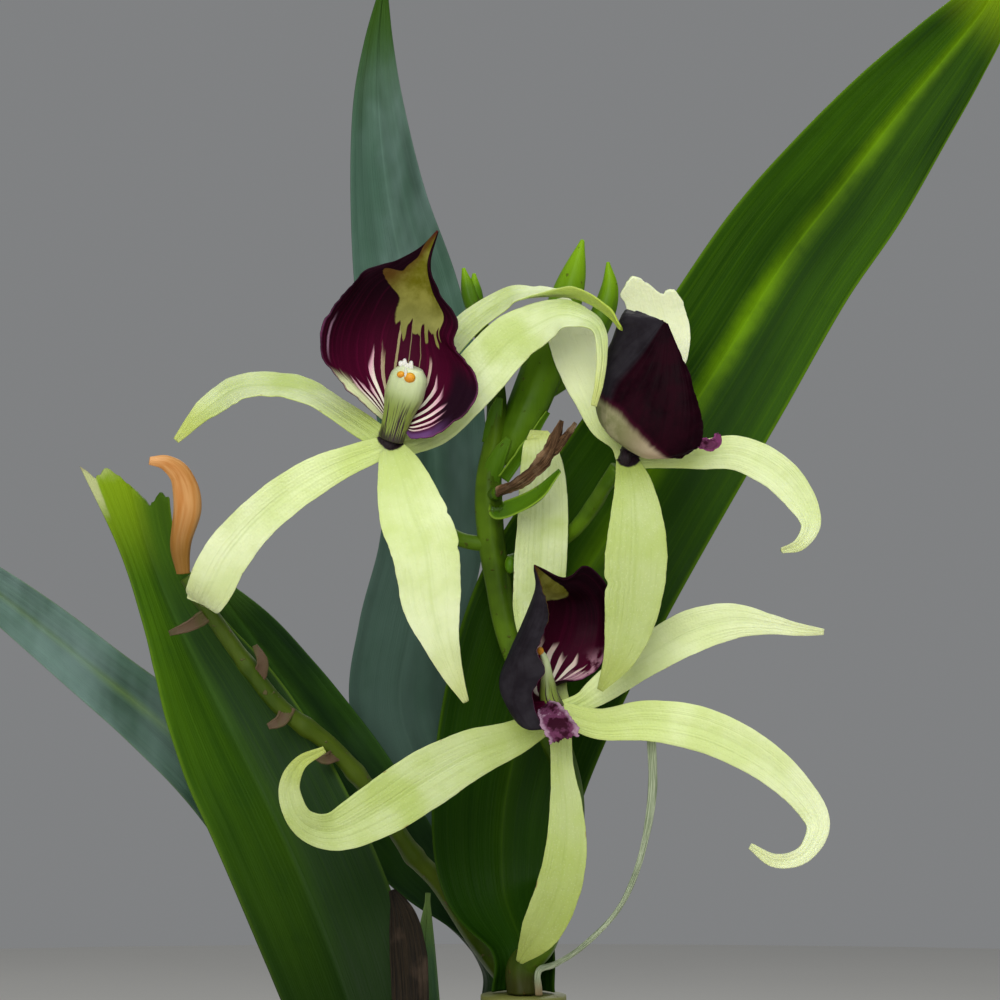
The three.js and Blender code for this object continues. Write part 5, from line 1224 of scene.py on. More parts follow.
def floor_finish(settings):
    """Plain pale floor, matt, with the faintest cloudiness."""
    f = Finish("floor", Specular_IOR_Level=0.2)
    cloud = f.clouds(f.place(), 3, 3)
    tone = f.blend(f.step(cloud, 0.3, 0.7), settings.floor, [0.96 * c for c in settings.floor])
    return f.done(tone, 0.85)


# Settings
def length_of(name, description, millimetres, least=0.05):
    return bpy.props.FloatProperty(
        name=name, description=description, default=millimetres * MM, min=least * MM, max=0.4,
        subtype="DISTANCE", unit="LENGTH", precision=4,
    )


def amount_of(name, description, default, unit="NONE"):
    return bpy.props.FloatProperty(name=name, description=description, default=default, min=0.0, unit=unit)


def colour_of(name, description, six):
    return bpy.props.FloatVectorProperty(
        name=name, description=description, default=paint(six), size=3, min=0.0, max=1.0, subtype="COLOR"
    )


class OrchidPot(bpy.types.PropertyGroup):
    height: length_of("Pot height", "Height of the clay pot", 115)
    rim_radius: length_of("Rim radius", "Outer radius of the rim", 65)
    foot_radius: length_of("Foot radius", "Outer radius of the foot", 45)
    wall: length_of("Wall", "Thickness of the wall", 6)
    clay: colour_of("Clay", "Main colour of the fired clay", "b0663c")
    bark_level: length_of("Bark level", "Height of the bark above the ground", 101)
    chip_length: length_of("Chip length", "Usual length of a loose bark chip", 11)
    chips: bpy.props.IntProperty(
        name="Loose chips", description="How many loose chips lie on the bark", default=230, min=0, max=600
    )
    bark: colour_of("Bark", "Colour of the lighter chips", "5e3d27")


class OrchidGrowth(bpy.types.PropertyGroup):
    leaf_thickness: length_of("Leaf thickness", "Thickness of a leaf at its midrib", 0.9)
    rib_depth: length_of("Midrib depth", "Depth of the groove along a leaf's midrib", 0.35, 0)
    green: colour_of("Leaf green", "Colour of the green leaves", "2c4e04")
    grey: colour_of("Grey leaf", "Colour of the waxy, grey-green leaves", "3c5a48")
    bulb: colour_of("Pseudobulb", "Colour of the pseudobulbs", "64812f")
    stem: colour_of("Stem", "Colour of the flower stem", "284004")
    old_stem: colour_of("Old stem", "Colour of last season's stem", "33480a")


class OrchidBloom(bpy.types.PropertyGroup):
    tepal_thickness: length_of("Tepal thickness", "Thickness of a petal or sepal", 0.62)
    tepal: colour_of("Tepal", "Main colour of petals and sepals", "bed07c")
    tepal_light: colour_of("Tepal light", "Lighter clouds on petals and sepals", "dde9b4")
    tepal_vein: colour_of("Tepal veins", "Colour of their long veins", "adc068")
    tepal_base: colour_of("Tepal base", "Colour near the hub and behind", "a6ba4a")
    lip_thickness: length_of("Lip thickness", "Thickness of the lip", 0.6)
    frill: length_of("Frill", "Height of the frills along the lip's margin", 0.28, 0)
    lip: colour_of("Lip", "Main colour inside the lip", "15030b")
    lip_heart: colour_of("Lip heart", "Colour inside the lip near its base", "420822")
    lip_rim: colour_of("Lip rim", "Colour of the lip's frilled margin", "6e3a5a")


class OrchidStage(bpy.types.PropertyGroup):
    floor: colour_of("Floor", "Colour of the floor", "e6e4df")
    floor_radius: bpy.props.FloatProperty(
        name="Floor radius", description="Radius of the round floor", default=1.7, min=0.3, max=1.8,
        subtype="DISTANCE", unit="LENGTH",
    )
    key: amount_of("Key light", "Strength of the main light", 7.4, "POWER")
    fill: amount_of("Fill light", "Strength of the light from above", 4.4, "POWER")
    back: amount_of("Back light", "Strength of the light from behind", 5.0, "POWER")
    sky: amount_of("Sky", "Strength of the even light all round", 0.25)
    lens: amount_of("Lens", "Focal length of the camera", 144.0, "CAMERA")


# Pot, bark and roots
def inner_radius(pot, z):
    """Inner radius of the pot at height z: a straight wall from floor to rim."""
    height, wall = pot.height / MM, pot.wall / MM
    low = pot.foot_radius / MM - wall
    return low + (pot.rim_radius / MM - wall - low) * (z - POT["floor"]) / (height - POT["floor"])


class ORCHID_OT_pot(bpy.types.Operator):
    """Turn the clay pot: a rounded profile carried round the upright axis, with three drain holes cut"""

    bl_idname = "orchid.pot"
    bl_label = "Clay pot"

    def execute(self, context):
        pot = context.scene.orchid_pot
        height, rim, foot, wall = (v / MM for v in (pot.height, pot.rim_radius, pot.foot_radius, pot.wall))
        rim_foot = height - POT["rim_depth"]
        body_top = rim - POT["rim_step"]
        outline = rounded(
            [
                [0.02, 0.0], [foot * 0.5, 0.4], [foot - POT["chamfer"], 0], [foot, POT["chamfer"]],
                [(foot + body_top - 1) / 2, rim_foot / 2], [body_top - 1, rim_foot],
                [rim - 1, rim_foot + 0.6], [rim, height - POT["chamfer"]], [rim - wall / 2, height],
                [rim - wall, height - 0.6], [foot - wall, POT["floor"]], [foot * 0.4, POT["floor"]],
                [0.02, POT["floor"]],
            ],
            2.2,
        )
        pieces = []
        for a, b in zip(outline, outline[1:]):
            count = max(1, int(np.linalg.norm(b - a) / 1.6))
            share = np.linspace(0, 1, count, endpoint=False)[:, None]
            pieces.append(a + (b - a) * share)
        outline = np.vstack([*pieces, outline[-1:]])

        def thrown(z, turn):
            """Throwing rings: a slow wave up the wall, leaning a little round the pot."""
            return 0.14 * np.sin(z * 1.15 + 0.6 * np.sin(turn)) + 0.1 * np.sin(3 * turn + z * 0.03)

        piece = make_piece("clay_pot", [turned(outline, 144, thrown)], clay_finish(pot), "terracotta", "pot")
        holes = []
        for i in range(POT["holes"]):
            turn = 2 * math.pi * (i + 0.25) / POT["holes"]
            post = turned([[0.02, -5], [POT["hole_radius"], -5], [POT["hole_radius"], 15], [0.02, 15]], 32)
            shift = [POT["hole_ring"] * math.cos(turn), POT["hole_ring"] * math.sin(turn), 0]
            holes.append((post[0] + shift, post[1], post[2]))
        drill = make_piece("drill", holes, None, "terracotta", "pot")
        cut = piece.modifiers.new("drain holes", "BOOLEAN")
        cut.operation = "DIFFERENCE"
        cut.object = drill
        cut.solver = "EXACT"
        graph = context.evaluated_depsgraph_get()
        drilled = bpy.data.meshes.new_from_object(
            piece.evaluated_get(graph), preserve_all_data_layers=True, depsgraph=graph
        )
        piece.modifiers.clear()
        piece.data = drilled
        bpy.data.objects.remove(drill)
        drilled.set_sharp_from_angle(angle=50 * DEGREE)
        return {"FINISHED"}


def bark_height(x, y, level):
    """Height of the bark at (x, y), and how deep in a seam it lies.

    Chips are cells round jittered seeds: the nearest seed's tilted plate, sunken where the second nearest
    seed is almost as near.
    """
    chip = BARK["chip"]
    column, line = np.round(x / chip), np.round(y / chip)
    di, dj = lattice(np.arange(-2, 3), np.arange(-2, 3))
    i = column[..., None] + di.ravel()
    j = line[..., None] + dj.ravel()
    dx = x[..., None] - (i + 0.8 * draw(i, j, 1) - 0.4) * chip
    dy = y[..., None] - (j + 0.8 * draw(i, j, 2) - 0.4) * chip
    far = np.hypot(dx, dy)
    order = np.argsort(far, -1)
    pick = lambda grid, k: np.take_along_axis(grid, order[..., k : k + 1], -1)[..., 0]
    near_i, near_j = pick(i, 0), pick(j, 0)
    seam = np.maximum(0, 1 - (pick(far, 1) - pick(far, 0)) / 3)
    lean = lambda k: (2 * draw(near_i, near_j, k) - 1) * BARK["tilt"]
    height = level + (2 * draw(near_i, near_j, 3) - 1) * BARK["lift"]
    height = height + lean(4) * pick(dx, 0) + lean(5) * pick(dy, 0) - seam * BARK["seam"]
    return height, seam, draw(near_i, near_j, 6)


class ORCHID_OT_bark(bpy.types.Operator):
    """Fill the pot with bark: a rough bed of chip cells, and loose chips scattered over it"""

    bl_idname = "orchid.bark"
    bl_label = "Bark mix"

    def execute(self, context):
        pot = context.scene.orchid_pot
        level = pot.bark_level / MM
        top = inner_radius(pot, level) - 0.7
        low = inner_radius(pot, POT["floor"]) - 0.7
        sides = 180
        radius = np.concatenate([[0.02], np.linspace(0, top, 76)[1:]])
        turn = full_turn(sides)
        x, y = radius[:, None] * np.cos(turn), radius[:, None] * np.sin(turn)
        height, seam, tone = bark_height(x, y, level)
        fray = 0.35 * np.sin(1.9 * x + 2.3 * np.sin(0.8 * y)) * np.sin(2.1 * y)
        height = height + fray * (1 - seam)
        height[-1] = level - BARK["lift"]
        bed = np.stack([x, y, height], -1)
        foot = np.stack([low * np.cos(turn), low * np.sin(turn), np.full(sides, POT["floor"] + GAP)], -1)
        middle = np.stack([0.02 * np.cos(turn), 0.02 * np.sin(turn), np.full(sides, POT["floor"] + GAP)], -1)
        rings = np.concatenate([middle[None], foot[None], bed[::-1]])
        pad = lambda grid: np.concatenate([np.ones((2, sides)), grid[::-1]])
        # extra carries the seams, which the bark finish darkens as painted shade.
        skins = [skin(rings, length=0, breadth=0, back=0, tone=0.25 + 0.75 * pad(tone), extra=pad(seam))]
        skins.append(self.chips(pot, level, top))
        make_piece("bark_and_chips", skins, bark_finish(pot), "bark", "bark_mix")
        return {"FINISHED"}

    def chips(self, pot, level, top):
        """Loose chips: one rounded box of few points, stretched, bent, turned and set down for each chip.

        Places follow a sunflower spiral, drawn aside a little: the golden turn times the count, and a
        radius that grows as its root. They keep clear of the shoots.
        """
        count = pot.chips
        k = np.arange(count)
        turn = GOLDEN_TURN * k + 0.9 * draw(k, 3, 1)
        radius = (top - 5) * np.sqrt((k + 0.5) / count)
        x, y = radius * np.cos(turn), radius * np.sin(turn)
        feet = np.array([bulb["foot"] for bulb in BULBS.values()] + [YOUNG_SHOOT], float)
        clear = np.min(np.hypot(x[:, None] - feet[:, 0], y[:, None] - feet[:, 1]), 1) > BARK["clear"]
        k, x, y = k[clear], x[clear], y[clear]
        polar = np.linspace(0.12, math.pi - 0.12, CHIP_RINGS)[:, None]
        around = full_turn(CHIP_SIDES)[None, :]
        square = lambda v: np.sign(v) * np.abs(v) ** 0.45
        unit_box = np.stack(
            [
                square(np.sin(polar)) * square(np.cos(around)),
                square(np.sin(polar)) * square(np.sin(around)),
                -square(np.cos(polar)) * np.ones_like(around),
            ],
            -1,
        ).reshape(-1, 3)
        grow = lambda n, low, high: (low + (high - low) * draw(k, n, 2))[:, None]
        size = pot.chip_length / MM / 2
        wide, deep, thick = grow(1, 0.55, 1.2) * size, grow(2, 0.4, 0.8) * size, grow(3, 0.8, 2.1)
        u = unit_box[None, :, 0] * (1 + 0.25 * np.sin(3 * unit_box[None, :, 1] + 6 * draw(k, 4, 2)[:, None]))
        v = unit_box[None, :, 1] * (1 + 0.3 * np.sin(2 * unit_box[None, :, 0] + 6 * draw(k, 5, 2)[:, None]))
        w = unit_box[None, :, 2] + 0.25 * unit_box[None, :, 0] ** 2 * (2 * draw(k, 6, 2)[:, None] - 1)
        local = np.stack([u * wide, v * deep, w * thick], -1)
        spin, tip, roll = grow(7, 0, 6.28), grow(8, -0.3, 0.3), grow(9, -0.3, 0.3)
        a, b, c = local[..., 0], local[..., 1], local[..., 2]
        a, c = a * np.cos(tip) - c * np.sin(tip), a * np.sin(tip) + c * np.cos(tip)
        b, c = b * np.cos(roll) - c * np.sin(roll), b * np.sin(roll) + c * np.cos(roll)
        a, b = a * np.cos(spin) - b * np.sin(spin), a * np.sin(spin) + b * np.cos(spin)
        height, _, _ = bark_height(x, y, level)
        points = np.stack([a + x[:, None], b + y[:, None], c + (height + 0.6)[:, None] + thick * 0.3], -1)
        reach = np.hypot(points[..., 0], points[..., 1])
        pull = np.minimum(1, (top - 0.3) / np.maximum(reach, 1e-6))
        points[..., :2] *= pull[..., None]
        _, quads, _ = skin(unit_box.reshape(CHIP_RINGS, CHIP_SIDES, 3))
        size = len(unit_box)
        faces = (quads[None] + size * np.arange(len(k))[:, None, None]).reshape(-1, 4)
        tone = np.repeat(draw(k, 10, 2), size)
        zero = np.zeros(len(tone))
        return points.reshape(-1, 3), faces, {"length": zero, "breadth": zero, "back": zero, "tone": tone}


class ORCHID_OT_roots(bpy.types.Operator):
    """Lay the creeping rhizome with a collar under each shoot, and its roots out over the bark"""

    bl_idname = "orchid.roots"
    bl_label = "Rhizome and roots"

    def execute(self, context):
        pot = context.scene.orchid_pot
        height, radius = RHIZOME["height"], RHIZOME["radius"]
        feet = [bulb["foot"] for bulb in BULBS.values()] + [YOUNG_SHOOT]
        front, back, left, far = feet[:4]
        level_row = lambda places: [[x, y, height, radius] for x, y in places]
        scaly = lambda t, turn: 1 + 0.05 * np.sin(46 * t) + 0.03 * np.sin(3 * turn + 9 * t)
        runs = [
            [[-36, 24], far, [-15, 24], back, [6, 12], front, [10, -12]],
            [far, [-26, 2], left, [-15, -22]],
            [[-16, 23], YOUNG_SHOOT, [-3, 2]],
        ]
        skins = [
            stem(level_row(run), 20 * len(run), 20, beyond=(0, 0, 1), shape=scaly, tone=0) for run in runs
        ]
        for i, (x, y) in enumerate(feet):
            wide, high = RHIZOME["collar_radius"], RHIZOME["collar_top"]
            outline = rounded([[0.02, 94], [wide, 94], [wide, high - 1], [wide - 1, high], [0.02, high]], 1.5)
            ring = lambda z, turn, i=i: 0.14 * np.sin(3.1 * z + i) + 0.12 * np.sin(5 * turn + i)
            collar = turned(outline, 28, ring, tone=0)
            skins.append((collar[0] + [x, y, 0], collar[1], collar[2]))
        lie = pot.bark_level / MM + BARK["lift"]
        reach = inner_radius(pot, pot.bark_level / MM) - 5
        starts = [front, [6, 12], back, back, far, left, left]
        for i, (x, y) in enumerate(starts):
            turn = (-75 + 360 / len(starts) * i) * DEGREE
            swing = 5 * (float(draw(i, 7, 1)) - 0.5)
            skins.append(self.root(x, y, turn, swing, reach, height, lie, i))
        make_piece("rhizome_with_roots", skins, root_finish(), "root", "rhizome_and_roots")
        return {"FINISHED"}

    def root(self, x, y, turn, swing, reach, height, lie, i):
        """A root: straight out at angle `turn`, swung aside by a sine of its share, over the bark and in."""
        c, s = math.cos(turn), math.sin(turn)
        rows = []
        for share, up in zip((0, 0.25, 0.5, 0.75, 1), (height, lie, lie + 1, lie, height)):
            aside = swing * math.sin(3 * math.pi * share)
            out_x, out_y = (reach * c - x) * share, (reach * s - y) * share
            rows.append([x + out_x - s * aside, y + out_y + c * aside, up, ROOT_RADIUS])
        knobs = lambda t, turn: 1 + 0.1 * sway(30 * t, i) + 0.06 * np.sin(2 * turn + 12 * t)
        return stem(rows, 60, 12, beyond=(0, 0, 1), shape=knobs, tone=1)


class ORCHID_OT_bulbs(bpy.types.Operator):
    """Grow the four pear-shaped pseudobulbs, with ribs and the papery sheaths that still clasp them"""

    bl_idname = "orchid.bulbs"
    bl_label = "Pseudobulbs"

    def execute(self, context):
        finish = bulb_finish(context.scene.orchid_growth)
        paper = paper_finish()
        for i, (name, bulb) in enumerate(BULBS.items()):
            t, turn = lattice(np.linspace(0, 1, 110), full_turn(72))
            rings = self.surface(bulb, i, t, turn)
            body = skin(rings, length=t, breadth=np.cos(turn), back=0, extra=self.ribs(t, turn, i))
            make_piece(f"{name}_bulb", [body], finish, "bulb", f"pseudobulb_{name}")
            make_piece(f"{name}_bulb_sheaths", self.sheaths(bulb, i), paper, "bulb", f"pseudobulb_{name}")
        return {"FINISHED"}

    def ribs(self, t, turn, i):
        """Seven rounded ribs that fade out at both ends: cos(7 turn) times sin(pi t)."""
        return np.sin(math.pi * t) * np.cos(7 * turn + i)

    def surface(self, bulb, i, t, turn, lift=0.0):
        """Skin of a bulb at t up it and turn round it: a radius from the profile, ribbed and wrinkled."""
        radius = bulb["radius"]
        belly = [radius * share for share in (0.86, 1, 0.97, 0.84)]
        base = RHIZOME["collar_top"] + GAP
        wide = along(np.array([[5.2, *belly, NECK_RADIUS * 1.06, NECK_RADIUS]]).T, t)[..., 0] + lift
        fine = 0.006 * np.cos(21 * turn + 3 * np.sin(5 * t) + i) + 0.004 * np.sin(37 * turn + 4 * t)
        wide = wide * (1 + 0.03 * self.ribs(t, turn, i) + fine * np.sin(math.pi * t))
        lean = t * t * (3 - 2 * t)
        (fx, fy), (nx, ny) = bulb["foot"], bulb["neck"]
        x = fx + (nx - fx) * lean + wide * np.cos(turn)
        y = fy + (ny - fy) * lean + wide * (1 - 0.14 * np.sin(math.pi * t)) * np.sin(turn)
        return np.stack([x, y, base + (bulb["top"] - base) * t], -1)

    def sheaths(self, bulb, i):
        """Papery sheaths: strips of the bulb's own surface set off by half a millimetre, ragged above."""
        skins = []
        for k, (begin, span, high) in enumerate([(0.3, 3.4, 0.3), (2.9, 2.9, 0.42), (5.2, 2.2, 0.22)]):
            u, v = lattice(np.linspace(0, 1, 26), np.linspace(0, 1, 56))
            turn = begin + i * 1.3 + span * v
            jag = 0.08 * sway(18 * v, i + 3 * k) + 0.05 * sway(47 * v, k + 1)
            top = high * (0.35 + 0.65 * np.sin(math.pi * v) ** 0.6) + jag * np.sin(math.pi * v)
            t = 0.01 + np.clip(top, 0.02, 0.8) * u
            off = 0.35 + 0.25 * k + 0.5 * u**3 * (1 + 0.6 * sway(9 * v, k + i)) + 0.1 * np.sin(60 * v)
            outer = self.surface(bulb, i, t, turn, off + 0.14)
            inner = self.surface(bulb, i, t, turn, off - 0.1)
            rings = np.concatenate([outer, inner[:, ::-1]], 1)
            skins.append(skin(rings, length=0, breadth=0, back=0))
        return skins


# Leaves
def clasping_foot(bulb, turn, width, cup):
    """Two rows that stand a leaf's foot round the neck of its bulb, at an angle of `turn` degrees."""
    (x, y), top = BULBS[bulb]["neck"], BULBS[bulb]["top"] + GAP
    x -= LEAF_RING * math.sin(turn * DEGREE)
    y += LEAF_RING * math.cos(turn * DEGREE)
    return [[x, y, top, width, turn, 0, cup], [x, y, top + 6, width, turn, 2, cup - 8]]


def ragged(name, fray):
    """How a blade ends across it: straight rips between the places in ENDS, frayed by two sines."""
    if name not in ENDS:
        return None
    return lambda s: 1 - np.interp(s, *ENDS[name]) - fray * (np.abs(np.sin(13 * s)) + 0.5 * np.sin(37 * s))


class ORCHID_OT_leaves(bpy.types.Operator):
    """Grow the strap leaves: blades with a grooved midrib, long veins and gently waved margins"""

    bl_idname = "orchid.leaves"
    bl_label = "Leaves"

    def execute(self, context):
        growth = context.scene.orchid_growth
        thick, groove = growth.leaf_thickness / MM, growth.rib_depth / MM
        grey = lambda name, rib, tip: leaf_finish(name, growth.grey, "223a2a", rib, 0.62, tip, 0.78)
        finishes = {
            "leaf_right": leaf_finish("right leaf", growth.green, "163204", "6c9606", 0.0, "8aaa08"),
            "leaf_back": grey("back leaf", "4c6a58", "36560c"),
            "leaf_inner_left": leaf_finish("inner leaf", "25440f", "142c10", "3a5f1c", 0.05, "4a6c28"),
            "leaf_torn": torn_leaf_finish(),
            "leaf_far_left": grey("far leaf", "5f7a3c", "55705a"),
       }
        slots = {"leaf_back": "leaf_grey_green", "leaf_far_left": "leaf_grey_green"}
        for i, name in enumerate(LEAVES):

            def relief(t, s, i=i):
                """A groove along the midrib, fine ribs beside it, and margins that wave along the leaf."""
                wave = 0.4 * sway(11 * t, i + 1) * np.abs(s) ** 2.5 * np.sin(math.pi * t)
                return wave - groove * bump_at(s, 0, 0.05) + 0.03 * np.cos(11 * math.pi * s)

            rows = np.vstack([clasping_foot(*LEAVES[name]["foot"], 70), seen(LEAVES[name]["rows"])])
            end = ragged(name, 0.0012)
            body = blade(rows, 190, 56, thick, end=end, relief=relief, keel=0.5, tone=i / 5)
            plain = name.replace("leaf_", "") + "_leaf"
            make_piece(plain, [body], finishes[name], slots.get(name, "leaf_green"), name)
        return {"FINISHED"}


class ORCHID_OT_young_growth(bpy.types.Operator):
    """Grow the folded young leaf low in the middle, and the dry stub of a leaf beside it"""

    bl_idname = "orchid.young_growth"
    bl_label = "Young leaf and dry stub"

    def execute(self, context):
        growth = context.scene.orchid_growth
        foot = RHIZOME["collar_top"] + GAP
        x, y = YOUNG_SHOOT
        rows = [
            [x, y, foot, 8, 0, 0, 80], [x, y, foot + 10, 8.5, 0, 0, 75], [-10.5, 10, 150, 8, 0, 10, 50],
            [-11.8, 10.5, 175, 6.5, 0, 20, 20], [-11, 11, 195, 0.4, 0, 20, 0],
        ]
        green = leaf_finish("young leaf", "3a5c24", "2a4a22", "5f7c3e", 0.2, "6c8648")
        ribbed = lambda t, s: 0.05 * np.cos(9 * math.pi * s) - 0.2 * bump_at(s, 0, 0.07)
        young = blade(rows, 120, 36, growth.leaf_thickness / MM, relief=ribbed, keel=0.2)
        make_piece("young_leaf_blade", [young], green, "leaf_green", "young_leaf")
        stub = np.vstack([clasping_foot("left", -120, 6, 40), seen(DRY_STUB)])
        crisp = lambda t, s: 0.16 * np.cos(7 * math.pi * s + 3 * t) + 0.25 * sway(14 * t, 4) * s**2
        dry = blade(stub, 90, 28, 0.6, relief=crisp)
        brown = dry_finish("dry stub", "14100a", "2a2114", "43362a")
        make_piece("dry_stub", [dry], brown, "dry", "dry_leaf_stub")
        return {"FINISHED"}


# Blooms
def bloom_axes(bloom):
    """Axes of a bloom: `up` leans by `lean`, `face` looks to `yaw` square to it, `side` is their product."""
    lean, yaw = bloom["lean"] * DEGREE, bloom["yaw"] * DEGREE
    up = np.array([math.sin(lean), 0, math.cos(lean)])
    face = np.array([math.sin(yaw), -math.cos(yaw), 0])
    face = unit(face - up * (up @ face))
    return up, np.cross(up, face), face, seen([bloom["at"]])[0]


def in_bloom(bloom, rows):
    """Rows [high, side, forward, ...] from the hub become [x, y, z, ...]."""
    up, side, face, hub = bloom_axes(bloom)
    rows = np.array(rows, float)
    return np.hstack([hub + rows[:, :1] * up + rows[:, 1:2] * side + rows[:, 2:3] * face, rows[:, 3:]])


class ORCHID_OT_tepals(bpy.types.Operator):
    """Open the petals and sepals of each bloom: long waxy blades that meet at the hub"""

    bl_idname = "orchid.tepals"
    bl_label = "Petals and sepals"

    def execute(self, context):
        petals = context.scene.orchid_bloom
        finish = tepal_finish(petals)
        thick = petals.tepal_thickness / MM
        for n, (name, bloom) in enumerate(BLOOMS.items()):
            up, _, face, hub = bloom_axes(bloom)
            skins = []
            for i, (place, rows) in enumerate(bloom["tepals"].items()):
                outer = seen([[*row, 0, 10] for row in rows])
                spine = np.vstack([[*hub, HUB_WIDTH, 0, 0, 10], outer])
                skins.append(self.tepal(spine, thick, 5 * n + i, (name, place)))
            flat = 1.7 - np.abs(face) * [0.9, 0.9, 0]
            skins.append(pebble(hub - face * 0.2, flat, rings=16, sides=24, tone=0.5))
            foot = hub + up * 0.9 + FRONT * 1.2 if name == "right" else hub + up * 1.4 + face * 0.9
            for points, _, marks in skins:
                near = np.linalg.norm(points - foot, axis=1)
                marks["extra"] = (name != "low") * part_of(-near, -2.9, -1.5)
            make_piece(f"{name}_bloom_tepals", skins, finish, "tepal", f"bloom_{name}_tepals")
        return {"FINISHED"}

    def tepal(self, spine, thick, seed, key):
        """One tepal: a shallow channel along its middle, faint ribs, a waved margin and small bites in it."""

        def relief(t, s):
            wave = 0.22 * sway(17 * t, seed + 1) * s**2 * part_of(t, 0.1, 0.3)
            return wave - 0.14 * bump_at(s, 0, 0.1) + 0.035 * np.cos(6 * math.pi * s) * (1 - s**2)

        def inset(t, s):
            """Share drawn in: 0 but for a bell of the given depth at each notch, on its own side."""
            drawn = 0.012 * (1 + sway(60 * t, seed))
            for side, where, deep, wide in NOTCHES.get(key, ()):
                drawn = drawn + deep * bump_at(t, where, wide) * (np.sign(s) == side)
            return drawn

        # fan carries this tepal's painted light, and reach carries its painted shade.
        shade = {"tone": seed / TEPALS, "fan": PAINTED_LIGHT.get(key, 0), "reach": PAINTED_SHADE.get(key, 0)}
        end = ragged(key, 0.003)
        return blade(spine, 130, 30, thick, end=end, relief=relief, inset=inset, keel=0.22, **shade)


class ORCHID_OT_lips(bpy.types.Operator):
    """Shape the shell-like lip over each bloom, frilled along its margins, with its curled-out tongue"""

    bl_idname = "orchid.lips"
    bl_label = "Lips"

    def execute(self, context):
        petals = context.scene.orchid_bloom
        thick, frill = petals.lip_thickness / MM, petals.frill / MM
        for n, name in enumerate(BLOOMS):
            net = viewed(LIPS[name])
            t, s = grid_of(180, 110)
            middle = net_surface(net, t, 0 * s)
            bites = (0.005 * (1 + sway(31 * t, n)) + 0.004 * (1 + sway(77 * t, n + 2))) * np.sin(math.pi * t)
            point = net_surface(net, t, s)
            point = point + (middle - point) * (bites * np.abs(s) ** 5)[..., None]
            normal = unit(np.cross(np.gradient(point, axis=1), np.gradient(point, axis=0)))
            ripple = sway(21 * t + 2.5 * np.sign(s), n + 0.3) + 0.6 * sway(47 * t, n + 1.1)
            calm = 1 - 0.75 * (name == "low") * (s > 0) * part_of(-t, -0.55, -0.4)
            edge = calm * frill * np.abs(s) ** 8 * ripple * part_of(t, 0.02, 0.15) * part_of(-t, -0.96, -0.75)
            broad = 0.2 * sway(9 * t + 4 * s, n) * s**2 * part_of(t, 0.05, 0.2) * part_of(-t, -0.98, -0.8)
            veins = 0.018 * np.cos(15 * math.pi * s) * part_of(t, 0.04, 0.2) * part_of(-t, -0.9, -0.6)
            point = point + normal * (edge + broad + veins)[..., None]
            base, tip = net[0].mean(0), net[-1].mean(0)
            reach = np.linalg.norm(point - base, axis=-1) / np.linalg.norm(tip - base)
            half = np.linalg.norm(point[:, -1:] - point[:, :1], axis=-1) / 2
            grids = {"reach": reach, "extra": self.patch(name, t, s), "fan": s}
            marks = {key: there_and_back(grid) for key, grid in grids.items()}
            skins = [thickened(point, normal, t, s, np.broadcast_to(half, s.shape), thick, **marks)]
            if name in TONGUES:
                rows = viewed([[*row, 0, 35] for row in TONGUES[name]])
                skins.append(self.tongue(rows, thick * 0.8, n))
            finish = lip_finish(f"{name} lip", petals, name)
            make_piece(f"{name}_bloom_lip", skins, finish, "lip", f"bloom_{name}_lip")
        return {"FINISHED"}

    def tongue(self, rows, thick, seed):
        """A crumpled tongue: its margins ruffled and bitten, its end torn."""
        ruffle = lambda t, s: (0.3 * sway(11 * t + 5 * s, seed) + 0.12 * sway(40 * t + 9 * s, seed)) * s**2
        torn = lambda s: 1 - 0.05 * (1 + sway(9 * s, seed + 0.5)) - 0.02 * np.abs(np.sin(14 * s))
        bitten = lambda t, s: 0.07 * (1 + sway(23 * t + s, seed))
        body = blade(rows, 70, 44, thick, end=torn, relief=ruffle, inset=bitten, reach=0.5, tone=1, extra=0)
        body[2]["fan"] = body[2]["breadth"]
        return body

    def patch(self, name, t, s):
        """Where the olive patch lies, from 0 to 1: a tongue from the tip toward the base, ending in teeth."""
        if name == "left":
            left = -0.16 - 0.3 * part_of(t, 0.74, 0.82) - 0.6 * part_of(t, 0.86, 0.97)
            left = left - 0.6 * bump_at(t, 0.755, 0.025)
            tongue = part_of(s, left - 0.1, left + 0.06) * part_of(-s, -0.54, -0.42)
            teeth = 0.05 * np.cos(43 * s) + 0.04 * np.cos(71 * s + 1)
            return tongue * part_of(t, 0.52 + teeth, 0.59 + teeth)
        if name == "right":
            return part_of(t, 0.95, 0.98)
        slant = np.maximum(s + 0.3, 0)
        return part_of(t, 0.56 + 0.2 * slant, 0.64 + 0.26 * slant) * part_of(-s, -0.45, -0.25)


